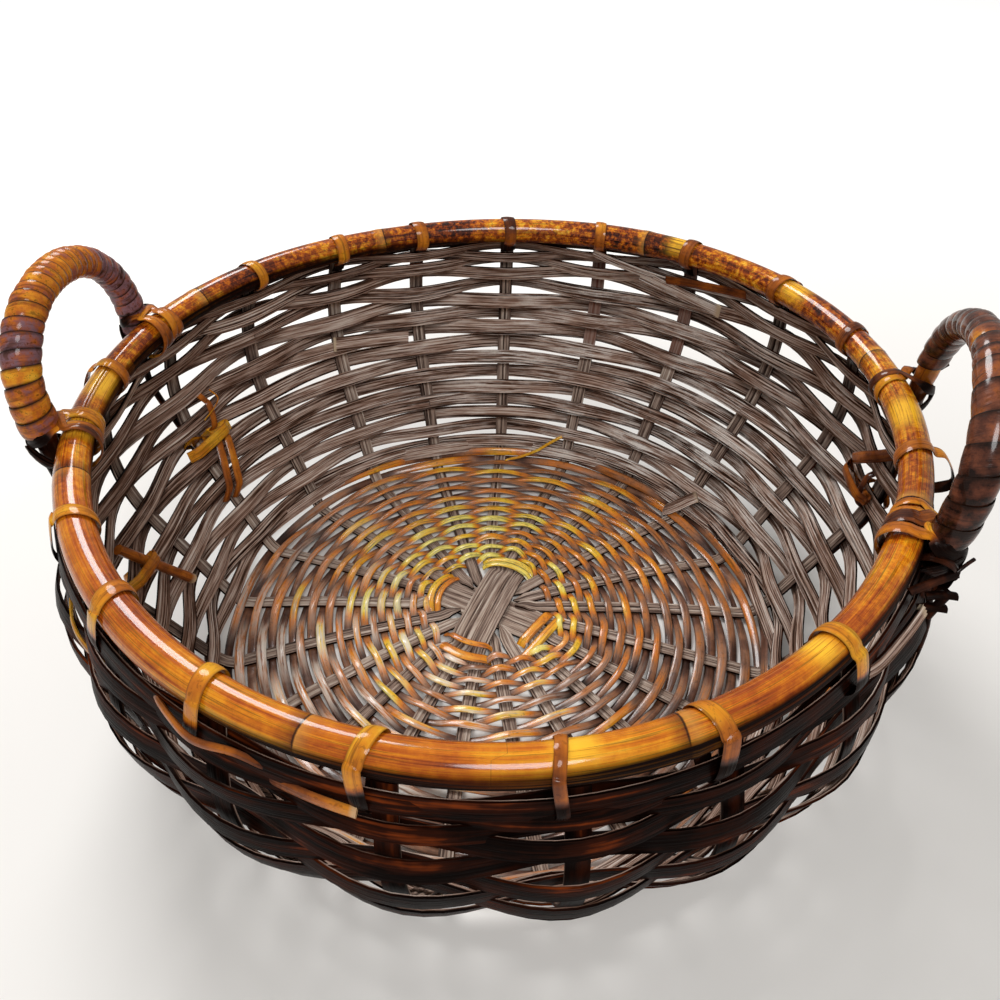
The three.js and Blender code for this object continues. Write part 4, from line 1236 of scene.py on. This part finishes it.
def addLashing(place, look):
    make = lashingMake
    strips = []
    for index, (offset, width, tone, side) in enumerate(look["fan"]):
        rows = lashingRows(offset, side, make["gap"] + make["gapStep"] * index)
        strips.append(addStrap(f"strip{index}", look["angle"], rows, width, make["thickness"], tone,
                               make["stain"], seed=index + len(place)))
    for index, (*loop, width) in enumerate(look.get("loops", [])):
        strips.append(addStrap(f"loop{index}", look["angle"], loopRows(*loop), width, make["loopThickness"],
                               make["loopTone"], seed=index, turns=1.05))
    for *spots, width, thickness, tone in look.get("ends", []):
        degrees, out, up = np.linspace(spots[:3], spots[3:], 8).T
        angles = np.radians(degrees)
        bow = 0.0012 * np.sin(np.linspace(0, math.pi, 8))
        strips.append(makeStrand("end", atRim(angles, out, up + bow), outwardAt(angles, 0.4, 1.0),
                                 peelSection(width, thickness), tone=tone))
    piece = joinPieces(strips, f"legLashing{inCapitals(place)}")
    finishPiece(piece, bindingPeel, "varnished_cane", f"leg_lashing_{place}")


for place, look in lashings.items():
    addLashing(place, look)
print("legs lashed")

# Ties on the wall: what holds each leg's foot, with the bar that the strip pulls against inside. Strands of a
# bar run from one spot to another, given as height and degrees round the bowl, then come width and tone.
legTies = {
    "left_back": {
        "height": 0.103,
        "turn": 165.0,
        "strands": [(0.136, 161.4, 0.105, 162.6, 0.0062, 0.50), (0.107, 162.2, 0.060, 168.4, 0.0074, 0.44),
                    (0.104, 160.2, 0.057, 165.8, 0.0074, 0.5)],
        "band": (0.103, 170.8, 0.104, 159.0, 0.0094, 0.72),
    },
    "left_front": {
        "height": 0.087,
        "turn": 193.8,
        "peg": (0.119, 196.5, 0.056, 189.8, 0.0037, 0.50),
        "band": (0.100, 201.4, 0.0870, 190.6, 0.0084, 0.60),
    },
    "right_back": {
        "height": 0.128,
        "turn": 12.0,
        "strands": [(0.136, 19.0, 0.170, 11.0, 0.0088, 0.34), (0.150, 12.5, 0.116, 11.5, 0.0062, 0.2)],
        "band": (0.134, 19.2, 0.128, 9.6, 0.0080, 0.42),
    },
    "right_front": {
        "height": 0.088,
        "turn": -23.0,
        "peg": (0.116, -20.5, 0.060, -25.0, 0.0031, 0.45),
        "band": (0.085, -19.0, 0.091, -27.0, 0.0062, 0.50),
    },
}
tieMake = {
    "barThickness": 0.0026,
    "barStandOff": 0.0012,
    "barBow": 0.0035,
    "pegStandOff": 0.0032,
    "bandThickness": 0.0018,
    "bandStandOff": 0.0055,
    "bandBow": 0.0030,
    "legReach": 0.036,  # radians that the band runs to each side of the leg outside
}


def wallRun(look, count, standOff, bow, dip=0.1):
    firstHeight, firstTurn, lastHeight, lastTurn = look[:4]
    share = np.linspace(0, 1, count)
    first, last = distanceAtHeight(firstHeight), distanceAtHeight(lastHeight)
    angles = np.radians(firstTurn + (lastTurn - firstTurn) * share)
    inside = wallWeave["liftIn"] + wallWeave["thickness"] / 2
    raised = inside * np.interp(share, [0, 0.16, 0.84, 1], [dip, 1, 1, dip])
    raised = raised + standOff + bow * np.sin(math.pi * share)
    return onBowl(first + (last - first) * share, angles, -raised)


def addTie(place, look):
    make = tieMake
    bars = []
    if "peg" in look:
        *spots, radius, tone = look["peg"]
        points, outwards = wallRun(spots, 16, make["pegStandOff"], 0, dip=0.8)
        share = np.linspace(0, 1, 16)
        points = points[0] + (points[-1] - points[0]) * share[:, None]
        section = roundSection(radius, 12)
        bars.append(makeStrand("bar", points, outwards, section, tone=tone, cut=share > 0.95))
    for *spots, width, tone in look.get("strands", []):
        points, outwards = wallRun(spots, 22, make["barStandOff"], make["barBow"])
        section = peelSection(width, make["barThickness"])
        bars.append(makeStrand("bar", points, outwards, section, tone=tone))
    name = inCapitals(place)
    finishPiece(joinPieces(bars, f"tieBar{name}"), bindingPeel, "red_peel", f"tie_bar_{place}")
    # the strip crosses the bar inside, comes out between two rows and goes round the leg's foot outside
    *spots, width, tone = look["band"]
    inner, innerOut = wallRun(spots, 22, make["bandStandOff"], make["bandBow"])
    foot = 2 * handles["coreRadius"] * handles["legShares"][0] * handles["legFlat"]
    sweep = np.linspace(-1, 1, 9)
    outer, outerOut = onBowl(distanceAtHeight(look["height"]) - 0.006 * sweep,
                             math.radians(look["turn"]) - make["legReach"] * np.sin(sweep * math.pi / 2),
                             handles["legGap"] + foot + 0.001 - 0.012 * sweep ** 4)
    line = np.vstack([inner[1:-1], outer, inner[1:2]])
    faces = np.vstack([-innerOut[1:-1], outerOut, -innerOut[1:2]])
    both = smoothThrough(np.hstack([line, faces]), 2)
    section = peelSection(width, make["bandThickness"])
    strip = makeStrand(f"legTie{name}", both[:, :3], unit(both[:, 3:]), section, tone=tone)
    finishPiece(strip, bindingPeel, "red_peel", f"leg_tie_{place}")


for place, look in legTies.items():
    addTie(place, look)
print("leg ties made")

# Centre tie: strips over each arm of the crossed stakes. Each has its reach along the arm, its width, tone
# and how far it runs on past the arm at either side.
centreTie = {
    "thickness": 0.0015,
    "halfArm": 0.0152,
    # at the back, the front, the left and the right
    "arms": [
        {"bundle": "upper", "turn": 0, "bow": 0.003, "slant": 0, "strips": [
            (0.0480, 0.0054, 0.88, 0.003, 0.004), (0.0548, 0.0054, 0.84, 0.003, 0.006)]},
        {"bundle": "upper", "turn": math.pi, "bow": 0.003, "slant": 0, "strips": [
            (0.0415, 0.0054, 0.50, 0.003, 0.003), (0.0520, 0.0082, 0.60, 0.003, 0.003)]},
        {"bundle": "lower", "turn": 0, "bow": 0.004, "slant": 0, "strips": [
            (0.0420, 0.0052, 0.48, 0.002, 0.004), (0.0490, 0.0062, 0.64, 0.002, 0.004)]},
        {"bundle": "lower", "turn": math.pi, "bow": 0, "slant": 0.2, "strips": [
            (0.0430, 0.0080, 0.52, 0.003, 0.001), (0.0530, 0.0078, 0.56, 0.016, 0.002)]},
    ],
}


def addCentreTie():
    strips = []
    half = centreTie["halfArm"]
    for arm in centreTie["arms"]:
        axis = bundleAxis(stakes[arm["bundle"]]) + arm["turn"]
        climb = stakes["climb"] if arm["bundle"] == "upper" else 0
        for reach, width, tone, before, after in arm["strips"]:
            climbed = np.clip((stakes["bundleEnd"] - reach) / stakes["climbRun"] + 0.6, 0, 1)
            top = bowl["baseLevel"] + 0.0024 + climb * climbed
            rows = [(-half - before - 0.003, 0.0024), (-half - before, 0.0048), (-half + 0.002, top),
                    (0, top + 0.0006),
                    (half - 0.002, top), (half + after, 0.0048), (half + after + 0.003, 0.0024)]
            across, height = smoothThrough(rows, 4).T
            bow = reach - arm["bow"] * (across / half) ** 2 + arm["slant"] * across
            points = inBase(axis, bow, across, height) + offCentre(reach)
            strips.append(makeStrand("strip", points, (0, 0, 1.0), peelSection(width, centreTie["thickness"]),
                                     tone=tone, crown=0.3, start=reach * 20))
    finishPiece(joinPieces(strips, "centreTie"), basePeel, "glossy_peel")


addCentreTie()
print("centre tied")

# Loose and cut ends, as hand weaving leaves them. Inside the wall a row is distance, degrees and how far the
# end stands in; outside it is degrees, out and up from the hoop's middle. Then come width, thickness, tone,
# the shares of pale cut wood at the two ends, and the share of painted sheen.
looseEnds = {
    "Inside": [
        ("reed", [(0.3415, 132.8, 0.0106), (0.3390, 129.5, 0.0108), (0.3350, 124.0, 0.0092),
                  (0.3310, 117.0, 0.0070)], 0.0125, 0.0020, 0.55, 1, 0, 0),
        ("reed", [(0.4240, 80.0, 0.0090), (0.4188, 75.5, 0.0115), (0.4133, 69.3, 0.0125),
                  (0.4095, 64.0, 0.0112)], 0.0080, 0.0018, 0.71, 0, 0, 0.9),
        ("reed", [(0.4110, 70.5, 0.0112), (0.4055, 65.2, 0.0130), (0.4004, 60.0, 0.0132),
                  (0.3962, 54.4, 0.0122)], 0.0125, 0.0018, 0.71, 0, 1, 0.9),
        ("peel", [(0.4133, 65.3, 0.0142), (0.4190, 57.8, 0.0144), (0.4234, 49.5, 0.0118)],
         0.0086, 0.0018, 0.14, 0, 0, 0),
        ("reed", [(0.1990, 48.6, 0.0030), (0.2050, 47.8, 0.0062), (0.2185, 45.9, 0.0074),
                  (0.2330, 43.0, 0.0078)], 0.0098, 0.0020, 0.6, 0, 0.4, 0),
        ("peel", [(0.3629, 162.0, 0.0190), (0.3530, 161.2, 0.0220), (0.3430, 162.0, 0.0180),
                  (0.3338, 163.5, 0.0100)], 0.0013, 0.0009, 0.55, 0, 0, 0),
        ("peel", [(0.1960, 95.5, 0.0055), (0.2050, 92.0, 0.0085), (0.2170, 87.5, 0.0105),
                  (0.2293, 83.3, 0.0100), (0.2340, 81.5, 0.0080)], 0.0028, 0.0012, 0.62, 0, 0, 0),
    ],
    "Outside": [
        ("peel", [(239.5, 0.0060, -0.024), (242.2, 0.0112, -0.012), (245.4, 0.0150, -0.010),
                  (247.6, 0.0170, -0.010), (249.5, 0.0168, -0.010), (252.7, 0.0130, -0.011),
                  (256.5, 0.0110, -0.016)], 0.0050, 0.0028, (0.30, 0.30, 0.26, 0.04), 0, 0, 0),
        ("peel", [(256.0, 0.0118, -0.022), (261.1, 0.0150, -0.019), (264.8, 0.0158, -0.020)],
         0.0072, 0.0026, (0.02, 0.16, 0.30, 0.36), 0, 0.6, 0),
        ("reed", [(331.4, 0.0203, -0.014), (326.4, 0.0182, -0.0165), (321.6, 0.0158, -0.020),
                  (319.8, 0.0118, -0.024)], 0.0062, 0.0028, 0.42, 0.6, 0, 0),
        ("peel", [(207.0, 0.0160, -0.030), (214.5, 0.0135, -0.038), (221.8, 0.0178, -0.038),
                  (227.0, 0.0165, -0.036), (233.0, 0.0120, -0.030)], 0.0040, 0.0020, 0.62, 0, 0, 0),
    ],
}
# the section, the finish and how far an end outside faces up
looseKinds = {
    "reed": (reedSection, wallReed, "dark_reed", 0.7),
    "peel": (peelSection, bindingPeel, "glossy_peel", 0.2),
}


def addLooseEnd(side, number, kind, rows, width, thickness, tone, cutStart, cutEnd, sheen):
    makeSection, finish, slot, lean = looseKinds[kind]
    first, second, third = smoothThrough(rows, 7, heldEnds=True).T
    if side == "Inside":
        points, outwards = onBowl(first, np.radians(second), -third)
    else:
        points, outwards = atRim(np.radians(first), second, third), -outwardAt(np.radians(first), 1.0, lean)
    spots = np.ravel([tone])
    count = len(points)
    tones = np.interp(np.linspace(0, 1, count), np.linspace(0, 1, len(spots)), spots)
    cut = np.zeros(count)
    cut[:2], cut[-2:] = cutStart, cutEnd
    name = f"looseEnd{side}{number}"
    piece = makeStrand(name, points, outwards, makeSection(width, thickness), tone=tones, crown=1.0, cut=cut,
                       sheen=sheen, start=len(name) * 0.31)
    finishPiece(piece, finish, slot)


for side, ends in looseEnds.items():
    for number, end in enumerate(ends, 1):
        addLooseEnd(side, number, *end)
print("loose ends left")

# Floor, light and camera
studio = {
    "floor": "#f1eeea",
    "whitens": (0.45, 1.6, 0.0, 0.6),  # from and to this far from the middle, with the glow there
    "worldColour": "#f4f2ef",
    "worldStrength": 0.40,
    "key": {"place": (-0.75, 1.05, 1.55), "size": 0.9, "power": 27.0},
    "fill": {"place": (0.35, -1.2, 1.75), "size": 0.8, "power": 18.0},
}


def addFloor():
    bpy.ops.object.select_all(action="DESELECT")
    bpy.ops.mesh.primitive_plane_add(size=14, location=(0, 0, 0))
    floor = bpy.context.object
    floor.name = "floor"
    material, tree, shader = startMaterial("floorFinish")
    # the floor turns white to the camera away from the basket
    position = addNode(tree, "ShaderNodeTexCoord", {}).outputs["Object"]
    away = addNode(tree, "ShaderNodeVectorMath", {0: position}, operation="LENGTH").outputs["Value"]
    seen = addNode(tree, "ShaderNodeLightPath", {}).outputs["Is Camera Ray"]
    setInputs(shader, {
        "Base Color": colour(studio["floor"]),
        "Roughness": 0.75,
        "Emission Color": (1, 1, 1, 1),
        "Emission Strength": times(spread(away, *studio["whitens"]), seen),
    })
    floor.data.materials.append(material)


def addLamp(name, look):
    lamp = bpy.data.lights.new(name, "AREA")
    lamp.shape = "DISK"
    lamp.size = look["size"]
    lamp.energy = look["power"]
    holder = bpy.data.objects.new(name, lamp)
    bpy.context.scene.collection.objects.link(holder)
    holder.location = look["place"]
    holder.rotation_euler = (Vector((0, 0, 0.08)) - Vector(look["place"])).to_track_quat("-Z", "Y").to_euler()


def setWorld():
    world = bpy.data.worlds.new("studio")
    world.use_nodes = True
    bpy.context.scene.world = world
    tree = world.node_tree
    tree.nodes.clear()
    plain = {"Color": colour(studio["worldColour"]), "Strength": studio["worldStrength"]}
    white = {"Color": (1, 1, 1, 1), "Strength": 1.0}
    under, over = [addNode(tree, "ShaderNodeBackground", inputs).outputs[0] for inputs in (plain, white)]
    rays = addNode(tree, "ShaderNodeLightPath", {}).outputs["Is Camera Ray"]
    mixed = addNode(tree, "ShaderNodeMixShader", {0: rays, 1: under, 2: over})
    addNode(tree, "ShaderNodeOutputWorld", {"Surface": mixed.outputs[0]})


view = {
    "focalShare": 0.854667,  # focal length as a share of the picture's width
    "pitch": 0.729,  # radians below level
    "roll": 0.027,
    "place": (-0.001, -0.43869, 0.52765),
    "turn": 6.75,  # degrees from the camera's frame to the part's
}


def addCamera():
    camera = bpy.data.cameras.new("camera")
    camera.sensor_width = 36
    camera.lens = 36 * view["focalShare"]
    camera.clip_start = 0.01
    holder = bpy.data.objects.new("camera", camera)
    bpy.context.scene.collection.objects.link(holder)
    forward = Vector((0, math.cos(view["pitch"]), -math.sin(view["pitch"])))
    right = Vector((1, 0, 0))
    up = right.cross(forward)
    turnedRight = math.cos(view["roll"]) * right + math.sin(view["roll"]) * up
    turnedUp = math.cos(view["roll"]) * up - math.sin(view["roll"]) * right
    axes = Matrix((turnedRight, turnedUp, -forward)).transposed()
    turn = Matrix.Rotation(math.radians(view["turn"]), 3, "Z")
    place = turn @ Vector(view["place"]) + Vector((*bowl["shift"], 0))
    holder.matrix_world = Matrix.Translation(place) @ (turn @ axes).to_4x4()
    bpy.context.scene.camera = holder


addFloor()
addLamp("key", studio["key"])
addLamp("fill", studio["fill"])
setWorld()
addCamera()
bpy.context.scene.view_settings.view_transform = "Standard"
print("studio set")
